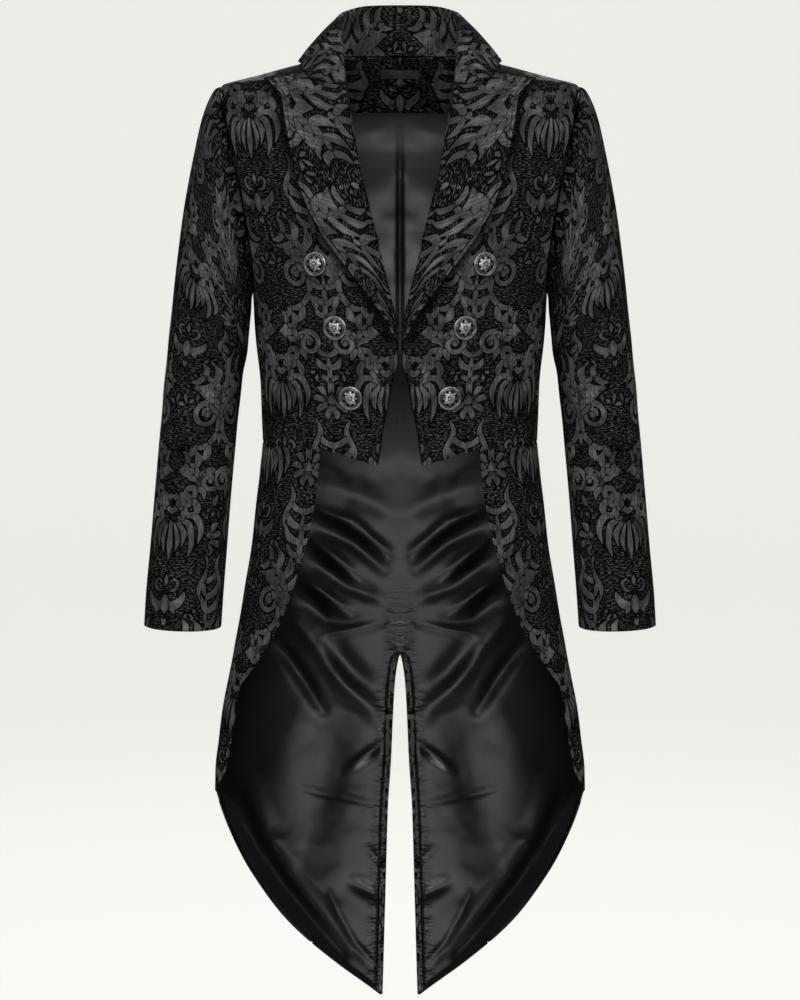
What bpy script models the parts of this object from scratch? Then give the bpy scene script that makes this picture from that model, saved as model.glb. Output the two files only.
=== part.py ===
"""Brocade tailcoat, filled out in its worn shape with no wearer, for Blender 4.5.

The coat faces -Y, its right side (the wearer's left) is +X and up is +Z. The origin lies in the middle
of the neck opening, level with the highest point of the shoulder seams. Sizes are in millimetres here
and are turned to metres as each mesh is made.

The body is one smooth form: a section for each height, each a rounded oval. A place on it is an angle
(0 at the centre front, 90 at the side, 180 at the centre back) and a height. Every body panel is a grid
ruled between two of its seams on that form, and what lies on a panel is its own grid moved in or out.
Each wearer's-left piece is built at +X and mirrored for the right.
"""

from collections import namedtuple

import bmesh
import bpy
import numpy as np
from mathutils import Vector

MM = 0.001
CLOTH = 2.0             # brocade with its interlining
LINING = 1.0            # satin
SEAM = 0.3              # room between two pieces that are sewn together
OVAL = 2.3              # power of the body's sections: 2 is an ellipse, more is squarer
SLEEVE_OVAL = 2.15      # the same for the sleeve's rings

# The body's sections, from the neck seam down to the tips of the tails
Section = namedtuple("Section", "height half_width front_depth back_depth")
SECTIONS = (
    Section(9, 80, 24, 80),
    Section(0, 115, 36, 84),
    Section(-7, 141, 44, 88),
    Section(-14, 167, 51, 92),
    Section(-25, 204, 63, 97),
    Section(-35, 207, 70, 101),
    Section(-60, 207, 84, 108),
    Section(-100, 204, 98, 114),
    Section(-150, 196, 109, 118),
    Section(-200, 183, 116, 117),
    Section(-250, 171, 119, 113),
    Section(-305, 168, 118, 106),
    Section(-368, 162, 112, 97),
    Section(-430, 160, 107, 94),
    Section(-507, 168, 105, 104),
    Section(-622, 185, 105, 124),
    Section(-680, 195, 101, 131),
    Section(-733, 206, 88, 137),
    Section(-781, 213, 70, 140),
    Section(-830, 219, 58, 144),
    Section(-950, 221, 52, 149),
    Section(-1160, 221, 52, 154),
)

SHOULDER_HEIGHT = -25       # top of the armhole
UNDERARM_HEIGHT = -262
WAIST_HEIGHT = -434         # the waist seam, but for its dip at the front
VENT_HEIGHT = -711          # top of the centre vent
FACING_HEIGHT = -55         # lower edge of the facing behind the neck

# The armhole bows this many degrees forwards and backwards from the side of the body
ARMHOLE_FRONT = 27
ARMHOLE_BACK = 24
ARMHOLE_STEPS = 20          # points round the armhole and round each sleeve
ARMHOLE_MIDDLE = (SHOULDER_HEIGHT + UNDERARM_HEIGHT) / 2
ARMHOLE_HALF = (SHOULDER_HEIGHT - UNDERARM_HEIGHT) / 2
ARMHOLE_SPREAD = 110        # the front's inner columns bow round the armhole over this height

# Seams and edges of the body, each an angle at a height
Edge = namedtuple("Edge", "height angle")
NECK_AND_FRONT_EDGE = (
    Edge(9, 86), Edge(0, 46), Edge(-7, 35), Edge(-14, 29), Edge(-28, 20.5), Edge(-49, 17.8),
    Edge(-109, 15.2), Edge(-174, 11.4), Edge(-242, 6.9), Edge(-271, 4.8), Edge(-300, 3.0), Edge(-310, 0.6), Edge(-335, 0.4), Edge(-345, 1.7), Edge(-359, 3.3), Edge(-375, 4.0), Edge(-406, 6.8),
    Edge(-426, 8.1), Edge(-449, 10.3),
)
SIDE_SEAM = (Edge(-262, 90), Edge(-330, 93), Edge(-434, 96))
SIDE_BACK_SEAM = (
    Edge(-143, 114.6), Edge(-180, 121), Edge(-240, 134), Edge(-300, 145), Edge(-360, 151),
    Edge(-434, 155), Edge(-600, 155), Edge(-800, 152), Edge(-1000, 150), Edge(-1083, 151.6),
)
SKIRT_EDGE = (
    Edge(-434, 33), Edge(-503, 34.5), Edge(-573, 38.7), Edge(-642, 45.8), Edge(-697, 57.4),
    Edge(-722, 64), Edge(-781, 64.7), Edge(-820, 66), Edge(-845, 71), Edge(-858, 84), Edge(-869, 98),
    Edge(-880, 104), Edge(-911, 113), Edge(-980, 128), Edge(-1054, 144), Edge(-1108, 159), Edge(-1152, 173.5),
)
VENT_EDGE = (
    Edge(-711, 180), Edge(-727, 179), Edge(-748, 178.3), Edge(-772, 177.9), Edge(-848, 177.1),
    Edge(-908, 176.1), Edge(-987, 175.5), Edge(-1152, 174.3),
)
# The waist seam dips to a point at the centre front
WAIST_SEAM = (Edge(-450, 10), Edge(-442.5, 20), Edge(-434, 33), Edge(-434, 180))
WAIST_DIP = 70              # the rows of the front bend to that seam over this height

SHOULDER_ROWS = (9, 0, -7, -14, -25)
FRONT_ROWS = (-286, -300, -311, -337, -358, -382, -408, -434)
BODY_ROWS = (-300, -345, -390, -434)
SKIRT_ROWS = (-470, -510, -545, -580, -615, -648, -680, -711, -735, -765, -800, -833, -848, -859, -869,
              -888, -915, -950, -985, -1020, -1051, -1078)
TAIL_ROWS = (-1108, -1130, -1152)
# Where the front's columns stand between its two edges: the third meets the skirt's corner at the waist
FRONT_SHARES = (0, 0.13, 0.265, 0.45, 0.63, 0.82, 1.0)
SIDE_COLUMNS = 3
BACK_COLUMNS = 6
SKIRT_COLUMNS = 10

# The lapel, between its roll line and its outer edge, from the gorge to the break
LapelRow = namedtuple("LapelRow", "roll_height roll_angle edge_height edge_angle edge_lift")
LAPEL_ROWS = (
    LapelRow(-28, 17.0, -17, 48.0, 5.5),
    LapelRow(-47, 15.7, -37, 38.3, 5.2),
    LapelRow(-76, 14.4, -65, 36.7, 4.6),
    LapelRow(-109, 13.1, -98, 35.0, 4.9),
    LapelRow(-142, 11.2, -131, 33.3, 5.6),
    LapelRow(-167, 9.7, -158, 31.0, 6.4),
    LapelRow(-190, 8.2, -188, 27.3, 6.8),
    LapelRow(-214, 6.7, -214, 22.2, 6.4),
    LapelRow(-243, 4.8, -245, 15.4, 5.2),
    LapelRow(-271, 2.6, -273, 8.2, 4.2),
    LapelRow(-288, 1.2, -292, 4.3, 3.6),
    LapelRow(-299, 0.5, -304, 2.8, 3.0),
)
# The roll itself: way from the roll line along the front, and lift of the cloth's middle off the front
RollPoint = namedtuple("RollPoint", "way lift")
ROLL = (RollPoint(6.0, -1.0), RollPoint(2.9, -1.0), RollPoint(0.8, -0.1), RollPoint(0.0, 1.6),
        RollPoint(0.8, 3.4), RollPoint(3.0, 4.3))
# The rest of the lapel: share of its width past the roll, and share of the way to the edge's own lift
LAPEL_SHARES = (0.14, 0.3, 0.47, 0.64, 0.82, 1.0)
LAPEL_SPRING = 1.6          # how far the lapel springs up past the roll

# The collar: its neck seam on the form, its fold, and the lower edge of its fall, from centre back to front
CollarStation = namedtuple(
    "CollarStation",
    "seam_angle seam_height fold_across fold_behind fold_height edge_across edge_behind edge_height")
COLLAR_STATIONS = (
    CollarStation(180, 9, 0, 88, 68, 0, 97, -1),
    CollarStation(155, 9, 36, 80, 67, 44, 91, -1),
    CollarStation(130, 9, 54, 60, 63, 80, 74, 0.5),
    CollarStation(108, 9, 65, 33, 57, 104, 40, 5),
    CollarStation(90, 9, 68, 5, 48, 116, 0, 3.5),
    CollarStation(46, 1, 67, -22, 30, 112, -27, -1),
    CollarStation(25, -14, 64, -48, 4, 105, -46, -11),
    CollarStation(19.5, -24, 61.5, -67.5, -19.5, 98, -60.5, -18),
)
COLLAR_SEAM_LIFT = 1.7      # the stand rises from just above the panels' edges
COLLAR_FOLD_ROOM = 3.2      # half the depth of the fold
COLLAR_BULGE = 2.5          # how far the fall bows outwards

# The sleeve's rings below the armhole, each slanted from its outer to its inner side
Ring = namedtuple("Ring", "outer_across outer_height inner_across inner_height front_depth back_depth forward")
SLEEVE_RINGS = (
    Ring(213.5, -31, 171.5, -267, 61, 67, 0),
    Ring(226, -58, 172, -272, 64, 71, 0),
    Ring(237, -104, 172.5, -279, 65, 72, 1),
    Ring(248, -160, 173, -289, 65, 70, 2),
    Ring(256, -215, 174, -301, 63, 67, 3),
    Ring(262.5, -268, 176, -316, 61, 64, 4),
    Ring(268, -318, 178.5, -337, 59, 61, 5),
    Ring(272.5, -358, 183, -362, 56, 58, 6),
    Ring(279, -425, 190, -425, 52, 54, 9),
    Ring(286, -499, 197, -499, 48, 49, 13),
    Ring(291, -555, 201.5, -555, 45, 46, 17),
    Ring(296, -604, 205.6, -604, 43, 43, 20),
    Ring(299, -647, 209, -650, 42, 42, 22),
)
FRONT_SEAM_STEP = 7         # the sleeve's two seams, counted in steps from its outer side
BACK_SEAM_STEP = 13
ARMHOLE_ROOM = 0.6          # room between the armhole's edge and the sleeve head

# The lining's largest folds: soft ridges that stand in from the cloth
Fold = namedtuple("Fold", "from_across from_height to_across to_height width depth")
LINING_FOLDS = (
    Fold(85, -495, 15, -560, 20, 5.0),
    Fold(100, -560, 45, -625, 18, 4.5),
    Fold(145, -655, 15, -775, 22, 6.5),
    Fold(150, -730, 60, -850, 26, 5.0),
    Fold(15, -800, 90, -880, 22, 4.5),
    Fold(190, -870, 60, -1060, 16, 5.5),
    Fold(85, -960, 35, -1100, 16, 4.0),
)
LINING_EASE = 0.9           # the lining hangs this far inside the cloth
EDGE_TUCK = 0.5             # and this much more along the skirt's free edge
EDGE_STRIP = 2.5            # cloth that shows beyond the lining along the tail's free edge
FACING_WIDTH = 7.0          # the vent's turned-in facing
FACING_SHARE = 0.9          # it never takes more than this much of the lining's first column
FACING_TOP = -721           # and starts a little below the vent's top
HEM_TURN = 2.0              # the lining ends this far above the tips

LABEL_HALF_WIDTH = 22
LABEL_TOP, LABEL_FOOT = -4, -14
LABEL_THICK = 0.6
LABEL_ROOM = 0.5

# A button, turned about its own axis, from its shank to the middle of its dome
BUTTON_RADIUS = 13.4
BUTTON_SIDES = 16
Turning = namedtuple("Turning", "radius height")
BUTTON_PROFILE = (
    Turning(3.5, 0.0), Turning(3.5, 1.6), Turning(12.6, 2.0), Turning(BUTTON_RADIUS, 3.2),
    Turning(BUTTON_RADIUS - 1.2, 4.4), Turning(BUTTON_RADIUS - 2.4, 3.9),
    Turning(7.2, 5.7),
)
BUTTON_CROWN = 6.9
BUTTON_ROOM = 0.4           # the shank stands this far off the cloth
ButtonPlace = namedtuple("ButtonPlace", "height angle")
BUTTON_PLACES = (ButtonPlace(-223, 30.9), ButtonPlace(-294, 24.6), ButtonPlace(-373, 19.5))

# Colour, roughness and metallic value of each finish
Finish = namedtuple("Finish", "colour roughness metallic")
FINISHES = {
    "brocade": Finish((0.012, 0.012, 0.013, 1), 0.75, 0.0),
    "satin": Finish((0.020, 0.020, 0.022, 1), 0.35, 0.0),
    "label_tape": Finish((0.010, 0.010, 0.010, 1), 0.6, 0.0),
    "button_metal": Finish((0.42, 0.42, 0.43, 1), 0.35, 1.0),
}


def smooth_at(places, values, wanted):
    """Values read between table rows on a smooth curve that never overshoots them."""
    order = np.argsort(places)
    x, y = np.asarray(places, float)[order], np.asarray(values, float)[order]
    step = np.diff(x)
    slope = np.diff(y) / step
    tangent = np.zeros_like(y)
    tangent[0], tangent[-1] = slope[0], slope[-1]
    for i in range(1, len(x) - 1):
        if slope[i - 1] * slope[i] > 0:
            near, far = 2 * step[i] + step[i - 1], step[i] + 2 * step[i - 1]
            tangent[i] = (near + far) / (near / slope[i - 1] + far / slope[i])
    wanted = np.clip(wanted, x[0], x[-1])
    k = np.clip(np.searchsorted(x, wanted) - 1, 0, len(x) - 2)
    t = (wanted - x[k]) / step[k]
    return (y[k] * (1 + 2 * t) * (1 - t) ** 2 + step[k] * tangent[k] * t * (1 - t) ** 2
            + y[k + 1] * t * t * (3 - 2 * t) + step[k] * tangent[k + 1] * t * t * (t - 1))


def column(table, name):
    """One named column of a table."""
    return [getattr(row, name) for row in table]


def edge_angle(edge, height):
    """Angle of a seam or an edge at some heights."""
    return smooth_at(column(edge, "height"), column(edge, "angle"), height)


def body_point(angle, height):
    """Points of the body's outer surface at angles in degrees and heights."""
    angle, height = np.broadcast_arrays(np.radians(angle), np.asarray(height, float))
    half, front, back = (smooth_at(column(SECTIONS, "height"), column(SECTIONS, name), height)
                         for name in ("half_width", "front_depth", "back_depth"))
    across, along = np.sin(angle), np.cos(angle)
    reach = (np.abs(across) ** OVAL + np.abs(along) ** OVAL) ** (-1 / OVAL)
    depth = np.where(along > 0, front, back)
    return np.stack([half * across * reach, -depth * along * reach, height], axis=-1)


def unit(vectors):
    """Vectors scaled to length one."""
    return vectors / np.linalg.norm(vectors, axis=-1, keepdims=True)


def body_normal(angle, height):
    """Outward direction of the body's surface."""
    turn, drop = 0.2, 0.5
    along = body_point(angle + turn, height) - body_point(angle - turn, height)
    up = body_point(angle, height + drop) - body_point(angle, height - drop)
    return unit(np.cross(along, up))


def sheet_normals(points, closed=False):
    """Normals of a grid of points, rows by columns; closed where the columns run round a tube."""
    if closed:
        along = np.roll(points, -1, axis=1) - np.roll(points, 1, axis=1)
    else:
        along = np.gradient(points, axis=1)
    return unit(np.cross(np.gradient(points, axis=0), along))


def trimmed(points, top=SEAM / 2, foot=SEAM / 2, first=SEAM / 2, last=SEAM / 2):
    """A grid drawn back from its four edges, along its own rows and columns."""
    out = points.copy()
    out[0] += unit(points[1] - points[0]) * top
    out[-1] += unit(points[-2] - points[-1]) * foot
    shift_first = unit(points[:, 1] - points[:, 0]) * np.reshape(first, (-1, 1))
    shift_last = unit(points[:, -2] - points[:, -1]) * np.reshape(last, (-1, 1))
    out[:, 0] += shift_first
    out[:, -1] += shift_last
    return out


def mirrored(points):
    """The same points on the other side of the coat."""
    return points * np.array([-1.0, 1.0, 1.0])


def add_object(name, mesh, finish):
    """An object in the scene with its mesh and its material."""
    mesh.materials.append(material(finish))
    piece = bpy.data.objects.new(name, mesh)
    bpy.context.scene.collection.objects.link(piece)
    return piece


def material(finish):
    """The finish's Principled material, made once."""
    if finish in bpy.data.materials:
        return bpy.data.materials[finish]
    look = FINISHES[finish]
    made = bpy.data.materials.new(finish)
    made.use_nodes = True
    shader = made.node_tree.nodes["Principled BSDF"]
    shader.inputs["Base Color"].default_value = look.colour
    shader.inputs["Roughness"].default_value = look.roughness
    shader.inputs["Metallic"].default_value = look.metallic
    return made


def wall(name, outer, inner, finish, centre=None):
    """A closed cloth wall between an outer and an inner grid of points.

    Each cell is cut along the same diagonal on both faces, so that walls made from one grid lie snugly.
    Past the centre column, where there is one, the grid is a mirror image and so are its diagonals.
    """
    rows, columns = outer.shape[:2]
    count = rows * columns
    middle = (rows // 2, columns // 2)
    cell_u = outer[middle] - outer[middle[0] - 1, middle[1]]
    cell_v = outer[middle] - outer[middle[0], middle[1] - 1]
    turned = np.dot(np.cross(cell_v, cell_u), outer[middle] - inner[middle]) < 0
    mesh = bmesh.new()
    points = np.concatenate([outer.reshape(-1, 3), inner.reshape(-1, 3)]) * MM
    corners = [mesh.verts.new(point) for point in points]

    def face(*indices):
        """One triangle, its corners turned where the grid runs the other way."""
        mesh.faces.new([corners[i] for i in (reversed(indices) if turned else indices)])

    for row in range(rows - 1):
        for col in range(columns - 1):
            a = row * columns + col
            b, c, d = a + 1, a + columns + 1, a + columns
            past = centre is not None and col >= centre
            for triangle in (((a, b, d), (b, c, d)) if past else ((a, b, c), (a, c, d))):
                face(*triangle)
                face(*(i + count for i in reversed(triangle)))
    rim = [col for col in range(columns)]
    rim += [row * columns + columns - 1 for row in range(1, rows)]
    rim += [(rows - 1) * columns + col for col in range(columns - 2, -1, -1)]
    rim += [row * columns for row in range(rows - 2, 0, -1)]
    for here, there in zip(rim, rim[1:] + rim[:1]):
        face(here, here + count, there + count)
        face(here, there + count, there)
    data = bpy.data.meshes.new(name)
    mesh.to_mesh(data)
    mesh.free()
    data.shade_smooth()
    data.set_sharp_from_angle(angle=0.8)
    return add_object(name, data, finish)


def pair(name, outer, inner, finish):
    """A piece for the wearer's left and its mirror image for the right."""
    wall(f"{name}_left", outer, inner, finish)
    wall(f"{name}_right", mirrored(outer), mirrored(inner), finish)


def armhole(step):
    """Angle and height of points round the armhole; step 0 is at the shoulder, a quarter turn is forward."""
    turn = 2 * np.pi * np.asarray(step) / ARMHOLE_STEPS
    bow = np.where(np.sin(turn) > 0, ARMHOLE_FRONT, ARMHOLE_BACK)
    return 90 - bow * np.sin(turn), ARMHOLE_MIDDLE + ARMHOLE_HALF * np.cos(turn)


def armhole_angle(height, bow):
    """Angle of the armhole's edge at a height, bowed forwards (negative) or backwards."""
    across = np.clip((np.asarray(height, float) - ARMHOLE_MIDDLE) / ARMHOLE_HALF, -1, 1)
    return 90 + bow * np.sqrt(1 - across ** 2)


def ruled(near, far, heights, shares):
    """Angles and heights of a grid between two edges, given as angles at each height."""
    near, far = np.asarray(near, float)[:, None], np.asarray(far, float)[:, None]
    return near + (far - near) * shares, np.repeat(np.asarray(heights, float)[:, None], len(shares), axis=1)


def armhole_rows():
    """Heights of the armhole's points, from just below the shoulder to the underarm."""
    return list(armhole(np.arange(1, ARMHOLE_STEPS // 2 + 1))[1])


def front_grid():
    """Angles and heights of the front, from its neck and front edge to the armhole and side seam."""
    heights = np.array(list(SHOULDER_ROWS) + armhole_rows() + list(FRONT_ROWS))
    side = np.where(heights > SHOULDER_HEIGHT, 90, armhole_angle(heights, -ARMHOLE_FRONT))
    side = np.where(heights < UNDERARM_HEIGHT, edge_angle(SIDE_SEAM, heights), side)
    front = edge_angle(NECK_AND_FRONT_EDGE, heights)
    rounded = edge_angle(SIDE_SEAM, heights) - ARMHOLE_FRONT * np.exp(-((heights - ARMHOLE_MIDDLE) / ARMHOLE_SPREAD) ** 2)
    angle, height = ruled(front, rounded, heights, np.array(FRONT_SHARES))
    angle[:, -1] = side
    dip = np.clip((WAIST_HEIGHT + WAIST_DIP - height) / WAIST_DIP, 0, 1) ** 2
    height = height + dip * (smooth_at(column(WAIST_SEAM, "angle"), column(WAIST_SEAM, "height"), angle)
                             - WAIST_HEIGHT)
    return angle, height


def side_grid():
    """Angles and heights of the side body, a sliver at the armhole that widens to the waist."""
    heights = np.array([row for row in armhole_rows() if row < ARMHOLE_MIDDLE + 1]
                       + list(BODY_ROWS))
    front = np.where(heights > UNDERARM_HEIGHT, armhole_angle(heights, ARMHOLE_BACK),
                     edge_angle(SIDE_SEAM, heights))
    return ruled(front, edge_angle(SIDE_BACK_SEAM, heights), heights,
                 np.linspace(0, 1, SIDE_COLUMNS))


def back_grid():
    """Angles and heights of the back, from the shoulder seam, armhole and side back seam to the middle."""
    heights = np.array(sorted(list(SHOULDER_ROWS) + armhole_rows() + [FACING_HEIGHT] + list(BODY_ROWS)
                              + list(SKIRT_ROWS) + list(TAIL_ROWS), reverse=True))
    side = np.where(heights > SHOULDER_HEIGHT, 90, armhole_angle(heights, ARMHOLE_BACK))
    side = np.where(heights < ARMHOLE_MIDDLE + 1, edge_angle(SIDE_BACK_SEAM, heights), side)
    side = np.where(heights < SKIRT_ROWS[-1], edge_angle(SKIRT_EDGE, heights), side)
    middle = np.where(heights < VENT_HEIGHT, edge_angle(VENT_EDGE, heights), 180)
    return ruled(side, middle, heights, np.linspace(0, 1, BACK_COLUMNS))


def skirt_grid():
    """Angles and heights of the skirt, from the cut-away edge to the side back seam."""
    heights = np.array([WAIST_HEIGHT] + list(SKIRT_ROWS), float)
    return ruled(edge_angle(SKIRT_EDGE, heights), edge_angle(SIDE_BACK_SEAM, heights), heights,
                 np.linspace(0, 1, SKIRT_COLUMNS))


def lining_fold(points):
    """How far the lining stands in from the cloth at each point of a panel."""
    total = np.zeros(points.shape[:-1])
    flat = points[..., [0, 2]]
    for fold in LINING_FOLDS:
        start = np.array([fold.from_across, fold.from_height], float)
        run = np.array([fold.to_across, fold.to_height], float) - start
        along = np.clip(((flat - start) @ run) / (run @ run), 0, 1)
        away = np.linalg.norm(flat - start - along[..., None] * run, axis=-1)
        total = np.maximum(total, fold.depth * np.exp(-(away / fold.width) ** 2) * np.sin(np.pi * (0.15 + 0.7 * along)))
    return total


def build_front():
    """The two fronts."""
    angle, height = front_grid()
    outer = trimmed(body_point(angle, height))
    pair("front", outer, outer - body_normal(angle, height) * CLOTH, "brocade")


def build_side():
    """The two side bodies."""
    angle, height = side_grid()
    outer = trimmed(body_point(angle, height))
    pair("side", outer, outer - body_normal(angle, height) * CLOTH, "brocade")


def edge_fade(points, rows=2):
    """One inside a grid and nothing at its edges, so that a fold dies away at the seams."""
    steps = [np.minimum(np.arange(count), np.arange(count)[::-1]) for count in points.shape[:2]]
    near = np.minimum(steps[0][:, None], steps[1][None, :])
    return np.clip(near / rows, 0, 1)


def build_back():
    """The two backs with their lining, the facing behind the neck, the label and the vent's facings."""
    angle, height = back_grid()
    outer, normal = trimmed(body_point(angle, height)), body_normal(angle, height)
    pair("back", outer, outer - normal * CLOTH, "brocade")

    heights = height[:, 0]
    split = int(np.argmin(np.abs(heights - FACING_HEIGHT)))
    below = slice(split, None)
    on_hem = heights[below] < SKIRT_ROWS[-1]
    base = trimmed(body_point(angle[below], height[below]), foot=HEM_TURN,
                   first=np.where(on_hem, EDGE_STRIP, SEAM / 2))
    depth = CLOTH + LINING_EASE + lining_fold(base) * edge_fade(base)
    lining = base - normal[below] * depth[..., None]
    pair("lining_back", lining, lining - normal[below] * LINING, "satin")

    near_neck = slice(0, split + 1), slice(BACK_COLUMNS // 3, None)
    half_angle, half_height = angle[near_neck], height[near_neck]
    half = trimmed(body_point(half_angle, half_height), foot=SEAM, last=0)
    half_normal = body_normal(half_angle, half_height)
    facing = half - half_normal * (CLOTH + SEAM)
    facing_in = facing - half_normal * LINING
    join = [np.concatenate([mirrored(part), part[:, -2::-1]], axis=1) for part in (facing, facing_in)]
    wall("neck_facing", join[0], join[1], "brocade", centre=facing.shape[1] - 1)

    build_label(join[1])

    vent = heights < FACING_TOP
    lining_in = lining - normal[below] * LINING
    inside = lining_in[vent[below]]
    edge, next_in = inside[:, -1], inside[:, -2]
    way = unit(next_in - edge)
    room = np.linalg.norm(next_in - edge, axis=1) * FACING_SHARE
    strip = np.stack([edge, edge + way * np.minimum(FACING_WIDTH, room)[:, None]], axis=1)
    strip_normal = normal[vent][:, [-1, -1]]
    strip = strip - strip_normal * SEAM
    pair("vent_facing", strip, strip - strip_normal * LINING, "brocade")


def build_label(facing):
    """The bare label on the facing, laid on the facing's own points."""
    middle = facing.shape[1] // 2
    half_turn = LABEL_HALF_WIDTH / np.linalg.norm(facing[2, middle + 1] - facing[2, middle])
    across = np.linspace(-half_turn, half_turn, 5) + middle
    heights = np.linspace(LABEL_TOP, LABEL_FOOT, 3)
    grid = np.zeros((3, 5, 3))
    for j, place in enumerate(across):
        low = int(np.floor(place))
        line = facing[:, low] * (low + 1 - place) + facing[:, low + 1] * (place - low)
        order = np.argsort(line[:, 2])
        for i, level in enumerate(heights):
            grid[i, j] = [np.interp(level, line[order, 2], line[order, k]) for k in range(3)]
    inward = np.array([0.0, -1.0, 0.0])
    near = grid + inward * LABEL_ROOM
    wall("label", near, near + inward * LABEL_THICK, "label_tape")


def build_skirt():
    """The two skirts with their lining."""
    angle, height = skirt_grid()
    outer, normal = trimmed(body_point(angle, height)), body_normal(angle, height)
    pair("skirt", outer, outer - normal * CLOTH, "brocade")
    base = trimmed(body_point(angle, height), foot=SEAM, first=EDGE_STRIP)
    depth = CLOTH + LINING_EASE + lining_fold(base) * edge_fade(base)
    depth[:, 0] += EDGE_TUCK
    lining = base - normal * depth[..., None]
    pair("lining_skirt", lining, lining - normal * LINING, "satin")


def build_lapel():
    """The two lapels: a roll at the front's edge, then a leaf that lies over the front and lifts at its rim."""
    rows = []
    for row in LAPEL_ROWS:
        start = body_point(row.roll_angle, row.roll_height)
        end = body_point(row.edge_angle, row.edge_height)
        width = float(np.linalg.norm(end - start))
        ways = column(ROLL, "way")
        lifts = column(ROLL, "lift")
        rolled, crest = ways[-1], lifts[-1]
        for share in LAPEL_SHARES:
            ways.append(rolled + (width - rolled) * share)
            lifts.append(crest + (row.edge_lift - crest) * share + LAPEL_SPRING * np.sin(np.pi * share))
        share = np.array(ways) / width
        angle = row.roll_angle + (row.edge_angle - row.roll_angle) * share
        height = row.roll_height + (row.edge_height - row.roll_height) * share
        rows.append(body_point(angle, height) + body_normal(angle, height) * np.array(lifts)[:, None])
    middle = np.array(rows)
    normal = sheet_normals(middle)
    pair("lapel", middle + normal * CLOTH / 2, middle - normal * CLOTH / 2, "brocade")


def collar_line(station):
    """The collar's section at one station: up the stand, over the fold and down the fall."""
    seam = body_point(station.seam_angle, station.seam_height) - body_normal(station.seam_angle, station.seam_height)
    seam = seam + np.array([0, 0, COLLAR_SEAM_LIFT])
    fold = np.array([station.fold_across, station.fold_behind, station.fold_height], float)
    edge = np.array([station.edge_across, station.edge_behind, station.edge_height], float)
    out = edge - fold
    out[2] = 0
    out = out / np.linalg.norm(out)
    up = np.array([0, 0, 1.0])
    room = COLLAR_FOLD_ROOM * min(1.0, np.linalg.norm(fold - seam) / 20)
    top_in, top_out = fold - up * room * 0.6, fold + out * room * 2 - up * room * 0.8
    fall = edge - top_out
    bow = np.cross(np.cross(fall, out), fall)
    bow = bow / np.linalg.norm(bow) * COLLAR_BULGE
    return np.array([
        seam, seam + (top_in - seam) * 0.5, top_in, fold + out * room,
        top_out, top_out + fall * 0.3 + bow, top_out + fall * 0.65 + bow * 0.9, edge])


def build_collar():
    """The collar in one wall, its stations read on a smooth curve from one end to the other."""
    half = np.array([collar_line(station) for station in COLLAR_STATIONS])
    whole = np.concatenate([mirrored(half[:0:-1]), half])
    places = np.arange(len(whole))
    wanted = np.linspace(0, len(whole) - 1, 2 * len(whole) - 1)
    grid = np.stack([np.stack([curve_at(places, whole[:, j, k], wanted) for k in range(3)], axis=-1)
                     for j in range(whole.shape[1])])
    normal = sheet_normals(grid)
    wall("collar", grid + normal * CLOTH / 2, grid - normal * CLOTH / 2, "brocade")


def curve_at(places, values, wanted):
    """A curve through evenly spaced values, free to swing a little past them."""
    padded = np.concatenate([[2 * values[0] - values[1]], values, [2 * values[-1] - values[-2]]])
    k = np.clip(np.floor(wanted).astype(int), 0, len(places) - 2)
    t = wanted - k
    a, b, c, d = (padded[k + i] for i in range(4))
    return 0.5 * (2 * b + (c - a) * t + (2 * a - 5 * b + 4 * c - d) * t ** 2 + (3 * b - a - 3 * c + d) * t ** 3)


def sleeve_rings():
    """Points of the left sleeve, ring by ring from the armhole to the cuff, each starting at its outer side."""
    steps = np.arange(ARMHOLE_STEPS)
    turn = 2 * np.pi * steps / ARMHOLE_STEPS
    across, along = np.cos(turn), np.sin(turn)
    reach = (np.abs(across) ** SLEEVE_OVAL + np.abs(along) ** SLEEVE_OVAL) ** (-1 / SLEEVE_OVAL)
    angle, height = armhole(steps)
    rings = [body_point(angle, height)]
    for ring in SLEEVE_RINGS:
        outer = np.array([ring.outer_across, -ring.forward, ring.outer_height], float)
        inner = np.array([ring.inner_across, -ring.forward, ring.inner_height], float)
        depth = np.where(along > 0, ring.front_depth, ring.back_depth) * along * reach
        rings.append((outer + inner) / 2 + (outer - inner) / 2 * (across * reach)[:, None]
                     - depth[:, None] * np.array([0, 1.0, 0]))
    points = np.array(rings)
    points[0] += unit(points[1] - points[0]) * ARMHOLE_ROOM
    normal = -sheet_normals(points, closed=True)
    normal[0] = unit(normal[0] + body_normal(angle, height))
    return points, normal


def build_sleeves():
    """The top and under sleeve of each side."""
    points, normal = sleeve_rings()
    ranges = {
        "sleeve_top": np.arange(BACK_SEAM_STEP - ARMHOLE_STEPS, FRONT_SEAM_STEP + 1),
        "sleeve_under": np.arange(FRONT_SEAM_STEP, BACK_SEAM_STEP + 1),
    }
    for name, steps in ranges.items():
        steps = steps % ARMHOLE_STEPS
        outer = trimmed(points[:, steps], top=0, foot=0)
        pair(name, outer, outer - normal[:, steps] * CLOTH, "brocade")


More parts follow.
